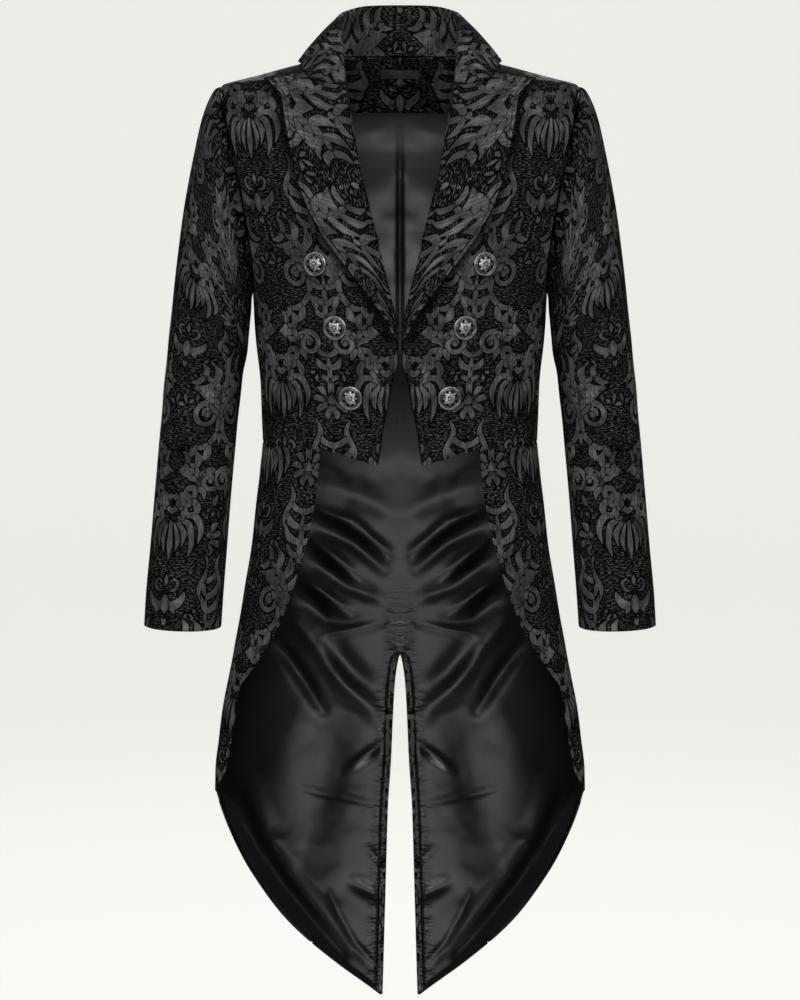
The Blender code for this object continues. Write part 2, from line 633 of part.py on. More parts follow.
def button_mesh():
    """A domed button with a raised rim, its back on its shank, its axis along +Z."""
    mesh = bmesh.new()
    turns = 2 * np.pi * np.arange(BUTTON_SIDES) / BUTTON_SIDES
    rings = [[mesh.verts.new(Vector((np.cos(t) * row.radius, np.sin(t) * row.radius, row.height)) * MM)
              for t in turns] for row in BUTTON_PROFILE]
    for lower, upper in zip(rings, rings[1:]):
        for i in range(BUTTON_SIDES):
            j = (i + 1) % BUTTON_SIDES
            mesh.faces.new((lower[i], lower[j], upper[j], upper[i]))
    mesh.faces.new(rings[0][::-1])
    crown = mesh.verts.new(Vector((0, 0, BUTTON_CROWN)) * MM)
    for i in range(BUTTON_SIDES):
        mesh.faces.new((rings[-1][i], rings[-1][(i + 1) % BUTTON_SIDES], crown))
    data = bpy.data.meshes.new("button")
    mesh.to_mesh(data)
    mesh.free()
    data.shade_smooth()
    data.materials.append(material("button_metal"))
    return data


def place_on_sheet(points, angles, heights, place):
    """The point and the outward direction of a sheet's own flat cell at a place on the body."""
    rows, columns = angles.shape
    wanted = np.array([place.angle, place.height], float)
    for row in range(rows - 1):
        for col in range(columns - 1):
            a, b, c, d = (row, col), (row, col + 1), (row + 1, col + 1), (row + 1, col)
            for triangle in ((a, b, c), (a, c, d)):
                flat = np.array([(angles[corner], heights[corner]) for corner in triangle])
                first, second = np.linalg.solve(np.stack([flat[1] - flat[0], flat[2] - flat[0]], axis=1),
                                                wanted - flat[0])
                if first >= 0 and second >= 0 and first + second <= 1:
                    start, near, far = (points[corner] for corner in triangle)
                    normal = unit(np.cross(near - start, far - start))
                    seat = start + (near - start) * first + (far - start) * second
                    return seat, normal * np.sign(normal @ body_normal(place.angle, place.height))
    raise ValueError("the place lies off the sheet")


def build_buttons():
    """Three buttons on each front, each square to the cloth under it."""
    data = button_mesh()
    angles, heights = front_grid()
    front = trimmed(body_point(angles, heights))
    for number, place in enumerate(BUTTON_PLACES, start=1):
        seat, normal = place_on_sheet(front, angles, heights, place)
        seat = seat + normal * BUTTON_ROOM
        for side, flip in (("left", 1), ("right", -1)):
            button = bpy.data.objects.new(f"button_{side}_{number}", data)
            bpy.context.scene.collection.objects.link(button)
            facing = Vector((normal[0] * flip, normal[1], normal[2]))
            button.location = Vector((seat[0] * flip, seat[1], seat[2])) * MM
            button.rotation_mode = "QUATERNION"
            button.rotation_quaternion = facing.to_track_quat("Z", "Y")


def main():
    """Clears the scene and builds the coat."""
    for thing in list(bpy.data.objects):
        bpy.data.objects.remove(thing, do_unlink=True)
    build_front()
    build_side()
    build_back()
    build_skirt()
    build_lapel()
    build_collar()
    build_sleeves()
    build_buttons()


if __name__ == "__main__":
    main()
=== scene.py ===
"""Looks of a black damask tailcoat: peaked lapels, cut-away front, domed metal buttons and a satin lining.

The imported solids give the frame. Each sewn piece is made again here as a fine sheet of cloth on the same
form, with its seams, stitching and soft folds, and is dressed in the weave that it is cut from. Lengths are
in millimetres until a mesh is made; +Z is up, the coat faces -Y, and +X is the wearer's left.
"""

import logging
import math
from dataclasses import dataclass
from enum import Enum
from typing import NamedTuple, Sequence

import bpy
import numpy as np
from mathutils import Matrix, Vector


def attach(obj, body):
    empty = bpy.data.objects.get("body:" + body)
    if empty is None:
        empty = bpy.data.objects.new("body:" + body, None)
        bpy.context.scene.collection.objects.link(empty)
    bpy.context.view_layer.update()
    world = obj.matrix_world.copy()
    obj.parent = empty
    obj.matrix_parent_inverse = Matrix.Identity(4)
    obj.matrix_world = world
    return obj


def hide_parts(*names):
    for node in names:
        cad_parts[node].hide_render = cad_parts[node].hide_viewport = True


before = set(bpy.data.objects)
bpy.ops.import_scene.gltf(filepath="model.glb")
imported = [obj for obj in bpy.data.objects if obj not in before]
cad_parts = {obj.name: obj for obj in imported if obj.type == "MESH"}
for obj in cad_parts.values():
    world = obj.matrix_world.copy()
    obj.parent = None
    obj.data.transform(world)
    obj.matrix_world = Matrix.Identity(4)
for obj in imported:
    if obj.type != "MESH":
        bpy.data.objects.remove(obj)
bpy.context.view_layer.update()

LOG = logging.getLogger("tailcoat")
MM = 0.001
FAR_AWAY = 1e3

Colour = tuple[float, float, float, float]
Triple = tuple[float, float, float]
Place = tuple[float, float]
Socket = bpy.types.NodeSocket


class Side(Enum):
    """The wearer's side that a piece is cut for, with the sign of X there."""

    LEFT = 1
    RIGHT = -1

    @property
    def word(self) -> str:
        """The side's name as the solids' names end with it."""
        return self.name.lower()


class Section(NamedTuple):
    """One level of the body: half its width, and its depth before and behind the side line."""

    height: float
    half_width: float
    front_depth: float
    back_depth: float


class EdgePoint(NamedTuple):
    """A point of a seam or an edge: its height, and its angle round the body from the centre front."""

    height: float
    angle: float


def unit(vectors: np.ndarray) -> np.ndarray:
    """Vectors scaled to length one."""
    return vectors / np.maximum(np.linalg.norm(vectors, axis=-1, keepdims=True), 1e-9)


def smooth_at(places: Sequence[float], values: Sequence[float], wanted: np.ndarray) -> np.ndarray:
    """Reads a table on a smooth curve that never overshoots its rows.

    Args:
        places: where the rows stand.
        values: the rows' values.
        wanted: places to read at, clipped to the table's ends.

    Returns:
        The values at the wanted places.
    """
    order = np.argsort(places)
    x, y = np.asarray(places, float)[order], np.asarray(values, float)[order]
    step = np.diff(x)
    slope = np.diff(y) / step
    tangent = np.zeros_like(y)
    tangent[0], tangent[-1] = slope[0], slope[-1]
    for i in range(1, len(x) - 1):
        if slope[i - 1] * slope[i] > 0:
            near, far = 2 * step[i] + step[i - 1], step[i] + 2 * step[i - 1]
            tangent[i] = (near + far) / (near / slope[i - 1] + far / slope[i])
    wanted = np.clip(wanted, x[0], x[-1])
    k = np.clip(np.searchsorted(x, wanted) - 1, 0, len(x) - 2)
    t = (wanted - x[k]) / step[k]
    return (y[k] * (1 + 2 * t) * (1 - t) ** 2 + step[k] * tangent[k] * t * (1 - t) ** 2
            + y[k + 1] * t * t * (3 - 2 * t) + step[k] * tangent[k + 1] * t * t * (t - 1))


def curve_at(values: np.ndarray, wanted: np.ndarray) -> np.ndarray:
    """Reads evenly spaced points on a rounded curve through all of them.

    Args:
        values: the points, one row each.
        wanted: places to read at, counted in rows.

    Returns:
        A point for each wanted place.
    """
    values = np.asarray(values, float)
    padded = np.concatenate([[2 * values[0] - values[1]], values, [2 * values[-1] - values[-2]]])
    k = np.clip(np.floor(wanted).astype(int), 0, len(values) - 2)
    t = (wanted - k).reshape((-1,) + (1,) * (values.ndim - 1))
    a, b, c, d = (padded[k + i] for i in range(4))
    return 0.5 * (2 * b + (c - a) * t + (2 * a - 5 * b + 4 * c - d) * t ** 2
                  + (3 * b - a - 3 * c + d) * t ** 3)


def filled(stops: Sequence[float], cell: float) -> np.ndarray:
    """Values that pass through every stop and are no further apart than a cell."""
    parts = [np.linspace(a, b, max(1, math.ceil(abs(b - a) / cell)) + 1)[:-1]
             for a, b in zip(stops, stops[1:])]
    return np.concatenate(parts + [np.array([float(stops[-1])])])


def ramp(values: np.ndarray, start: float, end: float) -> np.ndarray:
    """A soft step from nothing at the start to one at the end."""
    t = np.clip((values - start) / (end - start), 0, 1)
    return t * t * (3 - 2 * t)


def steps_along(points: np.ndarray, axis: int) -> np.ndarray:
    """Length run so far along one axis of a grid of points."""
    gaps = np.linalg.norm(np.diff(points, axis=axis), axis=-1)
    first = np.zeros_like(np.take(gaps, [0], axis=axis))
    return np.concatenate([first, np.cumsum(gaps, axis=axis)], axis=axis)


@dataclass(frozen=True)
class BodyForm:
    """The filled-out body of the coat, a smooth oval at every level."""

    oval: float = 2.3
    sections: tuple[Section, ...] = (
        Section(9, 80, 24, 80), Section(0, 115, 36, 84), Section(-7, 141, 44, 88), Section(-14, 167, 51, 92),
        Section(-25, 204, 63, 97), Section(-35, 207, 70, 101), Section(-60, 207, 84, 108),
        Section(-100, 204, 98, 114), Section(-150, 196, 109, 118), Section(-200, 183, 116, 117),
        Section(-250, 171, 119, 113), Section(-305, 168, 118, 106), Section(-368, 162, 112, 97),
        Section(-430, 160, 107, 94), Section(-507, 168, 105, 104), Section(-622, 185, 105, 124),
        Section(-680, 195, 101, 131), Section(-733, 206, 88, 137), Section(-781, 213, 70, 140),
        Section(-830, 219, 58, 144), Section(-950, 221, 52, 149), Section(-1160, 221, 52, 154),
    )

    def point(self, angle: np.ndarray, height: np.ndarray) -> np.ndarray:
        """Points of the outer surface at angles in degrees and heights."""
        angle, height = np.broadcast_arrays(np.radians(angle), np.asarray(height, float))
        levels = [row.height for row in self.sections]
        half = smooth_at(levels, [row.half_width for row in self.sections], height)
        front = smooth_at(levels, [row.front_depth for row in self.sections], height)
        back = smooth_at(levels, [row.back_depth for row in self.sections], height)
        across, along = np.sin(angle), np.cos(angle)
        reach = (np.abs(across) ** self.oval + np.abs(along) ** self.oval) ** (-1 / self.oval)
        depth = np.where(along > 0, front, back)
        return np.stack([half * across * reach, -depth * along * reach, height], axis=-1)

    def normal(self, angle: np.ndarray, height: np.ndarray) -> np.ndarray:
        """Outward direction of the surface."""
        turn, drop = 0.2, 0.5
        along = self.point(angle + turn, height) - self.point(angle - turn, height)
        up = self.point(angle, height + drop) - self.point(angle, height - drop)
        return unit(np.cross(along, up))

    def rows(self, stops: Sequence[float], cell: float) -> np.ndarray:
        """Heights through every stop, a cell apart along the cloth, so that shoulders get rows enough."""
        widths = smooth_at([row.height for row in self.sections], [row.half_width for row in self.sections],
                           np.array(stops, float))
        rows = []
        for upper, lower, spread in zip(stops, stops[1:], np.abs(np.diff(widths))):
            count = max(1, math.ceil(math.hypot(abs(upper - lower), float(spread)) / cell))
            rows.append(np.linspace(upper, lower, count + 1)[:-1])
        return np.concatenate(rows + [np.array([float(stops[-1])])])


@dataclass(frozen=True)
class CoatCut:
    """The seams and edges that divide the body's cloth, each an angle at a height."""

    shoulder: float = -25
    underarm: float = -262
    waist: float = -434
    waist_dip: float = 70
    vent_top: float = -711
    facing: float = -55
    seam_room: float = 0.3
    skirt_foot: float = -1078
    tail_tip: float = -1152
    armhole_front: float = 27
    armhole_back: float = 24
    armhole_turns: int = 72
    neck_rows: tuple[float, ...] = (9, 0, -7, -14, -25)
    chest_rows: tuple[float, ...] = (-300, -345, -390, -434)
    back_rows: tuple[float, ...] = (-200, -262, -345, -434, -600, -711, -850, -1000, -1078)
    skirt_rows: tuple[float, ...] = (-434, -503, -573, -642, -697, -722, -781, -820, -845, -858, -869, -880,
                                     -911, -980, -1054, -1078)
    neck_and_front: tuple[EdgePoint, ...] = (
        EdgePoint(9, 86), EdgePoint(0, 46), EdgePoint(-7, 35), EdgePoint(-14, 29), EdgePoint(-28, 20.5),
        EdgePoint(-49, 17.8), EdgePoint(-109, 15.2), EdgePoint(-174, 11.4), EdgePoint(-242, 6.9),
        EdgePoint(-271, 4.8), EdgePoint(-300, 3.0), EdgePoint(-310, 0.6), EdgePoint(-335, 0.4),
        EdgePoint(-345, 1.7), EdgePoint(-359, 3.3), EdgePoint(-375, 4.0), EdgePoint(-406, 6.8),
        EdgePoint(-426, 8.1), EdgePoint(-449, 10.3),
    )
    side_seam: tuple[EdgePoint, ...] = (EdgePoint(-262, 90), EdgePoint(-330, 93), EdgePoint(-434, 96))
    side_back_seam: tuple[EdgePoint, ...] = (
        EdgePoint(-143, 114.6), EdgePoint(-180, 121), EdgePoint(-240, 134), EdgePoint(-300, 145),
        EdgePoint(-360, 151), EdgePoint(-434, 155), EdgePoint(-600, 155), EdgePoint(-800, 152),
        EdgePoint(-1000, 150), EdgePoint(-1083, 151.6),
    )
    skirt_edge: tuple[EdgePoint, ...] = (
        EdgePoint(-434, 33), EdgePoint(-503, 34.5), EdgePoint(-573, 38.7), EdgePoint(-642, 45.8),
        EdgePoint(-697, 57.4), EdgePoint(-722, 64), EdgePoint(-781, 64.7), EdgePoint(-820, 66.5),
        EdgePoint(-836, 73), EdgePoint(-848, 86), EdgePoint(-859, 97), EdgePoint(-880, 104.5),
        EdgePoint(-911, 113), EdgePoint(-980, 128), EdgePoint(-1054, 144), EdgePoint(-1108, 159),
        EdgePoint(-1152, 173.5),
    )
    vent_edge: tuple[EdgePoint, ...] = (
        EdgePoint(-711, 180), EdgePoint(-727, 179), EdgePoint(-748, 178.3), EdgePoint(-772, 177.9),
        EdgePoint(-848, 177.1), EdgePoint(-908, 176.1), EdgePoint(-987, 175.5), EdgePoint(-1152, 174.3),
    )
    waist_seam: tuple[EdgePoint, ...] = (
        EdgePoint(-450, 10), EdgePoint(-442.5, 20), EdgePoint(-434, 33), EdgePoint(-434, 180),
    )

    @property
    def armhole_middle(self) -> float:
        """Height half way down the armhole."""
        return (self.shoulder + self.underarm) / 2

    @property
    def armhole_half(self) -> float:
        """Half the armhole's height."""
        return (self.shoulder - self.underarm) / 2

    @staticmethod
    def angle_of(edge: Sequence[EdgePoint], heights: np.ndarray) -> np.ndarray:
        """Angles of a seam or an edge at some heights."""
        return smooth_at([p.height for p in edge], [p.angle for p in edge], heights)

    def armhole_at(self, heights: np.ndarray, bow: float) -> np.ndarray:
        """Angle of the armhole's edge at some heights, bowed forwards (negative) or backwards."""
        across = np.clip((np.asarray(heights, float) - self.armhole_middle) / self.armhole_half, -1, 1)
        return 90 + bow * np.sqrt(1 - across ** 2)

    def armhole_round(self, turn: np.ndarray) -> tuple[np.ndarray, np.ndarray]:
        """Angle and height round the armhole, from the shoulder; a quarter turn is forward."""
        bow = np.where(np.sin(turn) > 0, self.armhole_front, self.armhole_back)
        return 90 - bow * np.sin(turn), self.armhole_middle + self.armhole_half * np.cos(turn)

    def armhole_rows(self) -> list[float]:
        """Heights that follow the armhole closely, below the shoulder and down to the underarm."""
        turns = np.linspace(0, np.pi, self.armhole_turns // 2 + 1)[1:]
        return [float(h) for h in self.armhole_middle + self.armhole_half * np.cos(turns)]


FORM = BodyForm()
CUT = CoatCut()


class Mark(NamedTuple):
    """A brush mark of the damask: points across and down the repeat, and half its width at each."""

    path: tuple[Place, ...]
    half: tuple[float, ...]


@dataclass(frozen=True)
class Damask:
    """The woven pattern, drawn as brush marks in half a repeat and mirrored at both its sides.

    Every mark is a stroke of changing width, and where two marks meet inside a leaf a dark vein runs between
    them. The chart is read at any place of a piece of cloth, as a distance to the nearest outline.
    """

    half_width: float = 75.0
    length: float = 350.0
    pitch: float = 0.5
    reach: float = 9.0
    size: float = 0.86
    thinned: float = 1.0

    @staticmethod
    def stroke(points: Sequence[Place], half: Sequence[float], steps: int = 14) -> Mark:
        """One brush mark on a smooth curve through a few points.

        Args:
            points: the places that it passes, across and down.
            half: half its width at each of them.
            steps: pieces that the curve is cut into.

        Returns:
            The mark.
        """
        wanted = np.linspace(0, len(points) - 1, steps + 1)
        path = curve_at(np.array(points, float), wanted)
        width = np.interp(wanted, np.arange(len(points)), half)
        return Mark(tuple(map(tuple, path)), tuple(width))

    def spiral(self, middle: Place, outer: float, start: float, turns: float,
               thick: float, grain: int = 30) -> list[Mark]:
        """A scroll that winds in to a round bud.

        Args:
            middle: its centre.
            outer: radius of its first turn.
            start: degrees at which it begins.
            turns: how far it winds, in turns; negative winds the other way.
            thick: half the width of the stroke where it begins.
            grain: pieces that the curve is cut into.

        Returns:
            The stroke and its bud.
        """
        share = np.linspace(0, 1, grain)
        angle = np.radians(start) + 2 * np.pi * turns * share
        radius = outer * (1 - share) ** 0.8 + outer * 0.22 * share
        path = np.stack([middle[0] + radius * np.cos(angle), middle[1] + radius * np.sin(angle)], axis=-1)
        width = thick * (1 - 0.35 * share)
        return [Mark(tuple(map(tuple, path)), tuple(width)),
                Mark((middle, (middle[0] + 0.4, middle[1])), (outer * 0.27, outer * 0.27))]

    def leaf(self, spine: Sequence[Place], lobes: int, reach: float, thick: float,
             hands: Sequence[int] = (-1, 1)) -> list[Mark]:
        """An acanthus leaf: lobes that spring forwards from both sides of a curved spine.

        Args:
            spine: a few points from the stem to the tip.
            lobes: lobes on each side.
            reach: length of the longest lobe.
            thick: half the width of a lobe.
            hands: the sides that have lobes.

        Returns:
            The spine and its lobes.
        """
        marks = [self.stroke(spine, [thick * 0.75] * (len(spine) - 1) + [0.6])]
        line = curve_at(np.array(spine, float), np.linspace(0, len(spine) - 1, lobes * 4 + 1))
        for number in range(lobes):
            at = 1 + 4 * number
            run = unit(line[min(at + 3, len(line) - 1)] - line[at])
            size = math.sin(math.pi * (0.28 + 0.6 * number / lobes))
            for hand in hands:
                side = np.array([-run[1], run[0]]) * hand
                root = line[at]
                bend = root + (run * 0.28 + side * 0.62) * reach * size
                tip = root + (run * 0.95 + side * 0.92) * reach * size
                marks.append(self.stroke([tuple(root), tuple(bend), tuple(tip)],
                                         [thick * 0.7, thick * size, 0.5], 8))
        return marks

    def blossom(self, middle: Place, radius: float, petals: int, turn: float = 0.0) -> list[Mark]:
        """A flower seen from above: petals round a disc."""
        marks = [Mark((middle, (middle[0] + 0.4, middle[1])), (radius * 0.26, radius * 0.26))]
        for number in range(petals):
            angle = math.radians(turn) + 2 * math.pi * number / petals
            way = np.array([math.cos(angle), math.sin(angle)])
            bend = np.array([-way[1], way[0]]) * radius * 0.12
            ends = [tuple(np.array(middle) + way * radius * s + bend * b)
                    for s, b in ((0.42, 0.0), (0.74, 1.0), (1.0, 0.2))]
            marks.append(self.stroke(ends, [radius * 0.13, radius * 0.21, radius * 0.06], 8))
        return marks

    def crown(self, top: float) -> list[Mark]:
        """Leaves that hang from one point of the middle line, long at the sides."""
        rays = (((10, 0), (31, -2), (42, 18), (36, 44)), ((11, 4), (25, 10), (30, 36), (24, 62)),
                ((9, 6), (19, 22), (16, 46)), ((5, 8), (11, 30), (7, 54)), ((0, 6), (0, 36), (0, 66)))
        widths = ((3.0, 5.4, 5.2, 0.6), (3.0, 5.2, 4.6, 0.6), (2.8, 5.0, 0.6), (2.4, 4.4, 0.6),
                  (2.6, 5.4, 0.6))
        return [self.stroke([(x, y + top) for x, y in ray], width) for ray, width in zip(rays, widths)]

    def winged(self, top: float) -> list[Mark]:
        """A leaf with two lifted wings, a lobed foot and a bud beneath, under three small hooks."""
        return [
            self.stroke([(9, top + 17), (17, top + 15), (24, top + 7), (27, top - 4)], [6.0, 7.0, 5.2, 0.6]),
            self.stroke([(0, top + 6), (0, top + 16), (0, top + 29)], [4.0, 8.6, 1.2]),
            self.stroke([(11, top + 19), (14, top + 29)], [6.0, 1.4]),
            self.stroke([(3, top + 34), (1, top + 40), (0, top + 45)], [1.6, 3.6, 1.0]),
            self.stroke([(3, top - 2), (12, top - 3), (17, top - 12), (11, top - 18), (6, top - 13)],
                        [2.0, 3.0, 3.0, 2.6, 2.0]),
            self.stroke([(0, top - 26), (0, top - 16), (0, top - 8)], [1.0, 4.2, 1.2]),
        ]

    def sprig(self, root: Place, heading: float, size: float) -> list[Mark]:
        """Three small leaves on one stalk."""
        marks = []
        for spread, reach in ((-58, 0.75), (0, 1.0), (58, 0.75)):
            turn = math.radians(heading + spread)
            way = np.array([math.cos(turn), math.sin(turn)]) * size * reach
            ends = [tuple(np.array(root) + way * share) for share in (0.15, 0.6, 1.0)]
            marks.append(self.stroke(ends, [size * 0.07, size * 0.19, size * 0.03], 6))
        return marks

    def marks(self) -> list[Mark]:
        """All marks of half a repeat, from its top down."""
        marks = self.crown(-4) + self.winged(98)
        marks += self.blossom((75, 24), 26, 9, 20) + self.blossom((75, 24), 15, 7)
        marks += self.leaf([(75, 150), (75, 112), (75, 68)], 4, 30, 6.6, hands=(-1,))
        marks += [self.stroke([(50, 46), (57, 66), (46, 92), (50, 116)], [1.4, 4.8, 4.2, 0.6])]
        marks += self.sprig((33, 122), 60, 18)
        marks += self.spiral((37, 208), 19, 0, -1.5, 5.0)
        marks += self.leaf([(56, 212), (57, 186), (44, 163), (18, 148)], 5, 28, 7.4)
        marks += self.leaf([(55, 208), (53, 234), (36, 252), (10, 250)], 4, 22, 6.6, hands=(-1,))
        marks += self.leaf([(75, 268), (75, 232), (75, 186)], 4, 24, 6.0, hands=(-1,))
        marks += self.sprig((9, 196), 255, 20) + self.sprig((70, 160), 215, 13)
        marks += self.spiral((50, 298), 17, 165, 1.5, 4.8)
        marks += self.leaf([(33, 302), (27, 322), (14, 334), (0, 328)], 4, 23, 6.2)
        marks += self.leaf([(34, 298), (26, 278), (8, 272)], 3, 20, 6.0)
        marks += self.leaf([(75, 350), (75, 328), (75, 300)], 3, 20, 5.4, hands=(-1,))
        marks += self.sprig((58, 334), 100, 18)
        return marks

    def chart(self) -> tuple[np.ndarray, np.ndarray, np.ndarray]:
        """The half repeat as a table of places.

        Returns:
            Distance inside the nearest outline, negative on the ground, distance to the vein between marks,
            with its sign changed from one mark to the next, and way to one side of the mark's own middle.
        """
        across = np.arange(0, self.half_width + self.pitch, self.pitch)
        down = np.arange(0, self.length, self.pitch)
        best = np.full((len(down), len(across)), -self.reach)
        second = np.full_like(best, -self.reach)
        hand = np.ones_like(best)
        spine = np.full_like(best, self.reach)
        for number, mark in enumerate(self.marks()):
            path, half = np.array(mark.path), np.array(mark.half)
            for turn in (-1, 0, 1):
                line = path + [0, turn * self.length]
                low, high = line.min(0) - self.reach - half.max(), line.max(0) + self.reach + half.max()
                cols = np.nonzero((across >= low[0]) & (across <= high[0]))[0]
                rows = np.nonzero((down >= low[1]) & (down <= high[1]))[0]
                if not len(cols) or not len(rows):
                    continue
                window = np.ix_(rows, cols)
                value, aside = self.inside(line, half, across[cols], down[rows])
                was, next_best = best[window], second[window]
                over = value > was
                second[window] = np.where(over, was, np.maximum(next_best, value))
                hand[window] = np.where(over, 1 if number % 2 else -1, hand[window])
                spine[window] = np.where(over, aside, spine[window])
                best[window] = np.maximum(was, value)
        return best - self.thinned, hand * np.clip(best - second, 0, self.reach), spine

    @staticmethod
    def inside(line: np.ndarray, half: np.ndarray, across: np.ndarray,
               down: np.ndarray) -> tuple[np.ndarray, np.ndarray]:
        """Distance inside a stroke of changing width, and the way off its middle, at places of a window."""
        spot = np.stack(np.meshgrid(across, down), axis=-1)
        value, aside = np.full(spot.shape[:2], -FAR_AWAY), np.full(spot.shape[:2], FAR_AWAY)
        for start, end, wide, narrow in zip(line, line[1:], half, half[1:]):
            run = end - start
            share = np.clip(((spot - start) @ run) / max(float(run @ run), 1e-6), 0, 1)
            gap = np.linalg.norm(spot - start - share[..., None] * run, axis=-1)
            now = wide + (narrow - wide) * share - gap
            hand = np.sign(run[0] * (spot - start)[..., 1] - run[1] * (spot - start)[..., 0])
            aside = np.where(now > value, gap * hand, aside)
            value = np.maximum(value, now)
        return value, aside

    def read(self, chart: np.ndarray, across: np.ndarray, down: np.ndarray) -> np.ndarray:
        """A chart's values at places of the cloth, mirrored and repeated as it is woven."""
        across, down = across / self.size, down / self.size
        whole = 2 * self.half_width
        fold = np.abs((across + self.half_width) % whole - self.half_width) / self.pitch
        drop = (down % self.length) / self.pitch
        rows, cols = chart.shape
        c, r = np.minimum(fold.astype(int), cols - 2), drop.astype(int) % rows
        tc, tr = fold - c, drop - np.floor(drop)
        below = (r + 1) % rows
        upper = chart[r, c] * (1 - tc) + chart[r, c + 1] * tc
        lower = chart[below, c] * (1 - tc) + chart[below, c + 1] * tc
        return (upper * (1 - tr) + lower * tr) * self.size


DAMASK = Damask()
CHARTS = dict(zip(("motif", "vein", "spine"), DAMASK.chart()))


class Crease(NamedTuple):
    """A soft fold of the lining: places across and in height, its width, and how far it stands in."""

    path: tuple[Place, ...]
    width: float
    lift: float


class Stitched(Enum):
    """The edge of a piece that a row of stitches runs along."""

    NONE = "none"
    NEAR = "near"
    FAR = "far"


@dataclass
class Sheet:
    """A fine grid of a piece of cloth, rows by columns, from its outer face.

    points and normals are in millimetres; across and down are its flat places on the cloth it is cut from;
    near and far are ways in from its first and last column, top and foot from its first and last row.
    """

    points: np.ndarray
    normals: np.ndarray
    across: np.ndarray
    down: np.ndarray
    near: np.ndarray
    far: np.ndarray
    top: np.ndarray
    foot: np.ndarray

    @classmethod
    def measured(cls, points: np.ndarray, normals: np.ndarray, shift: float = 0.0,
                 drop: float = 0.0) -> "Sheet":
        """A sheet whose flat places are measured along its own rows and columns.

        Args:
            points: its grid.
            normals: outward directions.
            shift: flat place of its first column.
            drop: flat place of its first row.

        Returns:
            The sheet.
        """
        near, top = steps_along(points, 1), steps_along(points, 0)
        return cls(points, normals, near + shift, top + drop, near, near[:, -1:] - near, top, top[-1:] - top)

    def press(self, way: np.ndarray, at: float, depth: float, width: float) -> None:
        """Presses a groove in, along all that lies a given way from an edge."""
        self.points = self.points - self.normals * (depth * np.exp(-((way - at) / width) ** 2))[..., None]

    def lift(self, amount: np.ndarray) -> None:
        """Moves the cloth outwards, or inwards where the amount is negative."""
        self.points = self.points + self.normals * amount[..., None]


@dataclass(frozen=True)
class Tailoring:
    """How cloth is cut, joined and stitched all over the coat."""

    cloth: float = 2.0
    lining: float = 1.0
    gap: float = 0.03
    cell: float = 2.2
    coarse: float = 3.6
    kept: float = 0.58
    seam_dip: float = 0.9
    seam_width: float = 2.0
    stitch_way: float = 6.0
    stitch_dip: float = 0.45
    stitch_width: float = 1.1
    edge_dip: float = 0.5
    edge_width: float = 0.9
    rim: float = 0.45
    seam_steps: tuple[float, ...] = (0.03, 1.0, 2.2, 4.0)
    stitch_steps: tuple[float, ...] = (0.03, 1.0, 2.4, 4.2, 5.3, 6.0, 6.7, 7.8, 9.6)

    def ruled(self, near: np.ndarray, far: np.ndarray, heights: np.ndarray, cell: float, origin: float,
              near_steps: Sequence[float], far_steps: Sequence[float],
              drop_from: float) -> tuple[np.ndarray, ...]:
        """Angles and flat places of a body panel between two edges.

        Args:
            near: angle of its first edge at each height.
            far: angle of its last edge.
            heights: the rows.
            cell: size of a cell across.
            origin: angle where the pattern's middle line runs.
            near_steps: ways in from the first edge at which columns stand.
            far_steps: ways in from the last edge.
            drop_from: height at which the pattern's repeat starts.

        Returns:
            Angles, heights, flat places across and flat places down, each rows by columns.
        """
        fan = np.linspace(0, 1, 49)
        angles = near[:, None] + (far - near)[:, None] * fan
        ways = steps_along(FORM.point(angles, heights[:, None]), 1)
        widths = ways[:, -1]
        middle = max(4, round((np.percentile(widths, 75) - near_steps[-1] - far_steps[-1]) / cell))
        share = np.linspace(0, 1, middle + 1)[1:-1]
        grid, flat = [], []
        for row, (way, width) in enumerate(zip(ways, widths)):
            scale = min(1.0, 0.3 * width / max(near_steps[-1], far_steps[-1]))
            first = np.array(near_steps) * scale
            last = width - np.array(far_steps)[::-1] * scale
            place = np.concatenate([first, first[-1] + (last[0] - first[-1]) * share, last])
            grid.append(np.interp(place, way, angles[row]))
            flat.append(place)
        angle, across = np.array(grid), np.array(flat)
        lead = np.linspace(0, 1, 33)
        run = FORM.point(origin + (near[:, None] - origin) * lead, heights[:, None])
        across = across + (steps_along(run, 1)[:, -1] * np.sign(near - origin))[:, None]
        fine = np.linspace(30, heights[-1] - 5, 1500)
        fall = steps_along(FORM.point(np.full_like(fine, origin), fine)[:, None], 0)[:, 0]
        down = np.interp(-heights, -fine, fall) - np.interp(-drop_from, -fine, fall)
        height, down = (np.repeat(line[:, None], angle.shape[1], axis=1) for line in (heights, down))
        return angle, height, across, down

    def panel(self, angle: np.ndarray, height: np.ndarray, across: np.ndarray, down: np.ndarray,
              top: float = 0.03, foot: float = 0.03) -> Sheet:
        """A sheet on the body's form, drawn back a little at its first and last row."""
        height = height.copy()
        height[0] -= np.minimum(top, 0.5 * np.abs(height[0] - height[1]))
        height[-1] += np.minimum(foot, 0.5 * np.abs(height[-1] - height[-2]))
        points = FORM.point(angle, height)
        sheet = Sheet.measured(points, FORM.normal(angle, height))
        sheet.across, sheet.down = across, down
        return sheet


TAILORING = Tailoring()


def press_seams(sheet: Sheet, *ways: np.ndarray) -> None:
    """Sinks the cloth into each of the seams that it is joined by."""
    for way in ways:
        sheet.press(way, 0.0, TAILORING.seam_dip, TAILORING.seam_width)


def press_stitches(sheet: Sheet, way: np.ndarray) -> None:
    """Sinks the cloth along a row of edge stitches, and rounds the edge itself."""
    sheet.press(way, TAILORING.stitch_way, TAILORING.stitch_dip, TAILORING.stitch_width)
    sheet.press(way, 0.0, TAILORING.edge_dip, TAILORING.edge_width)


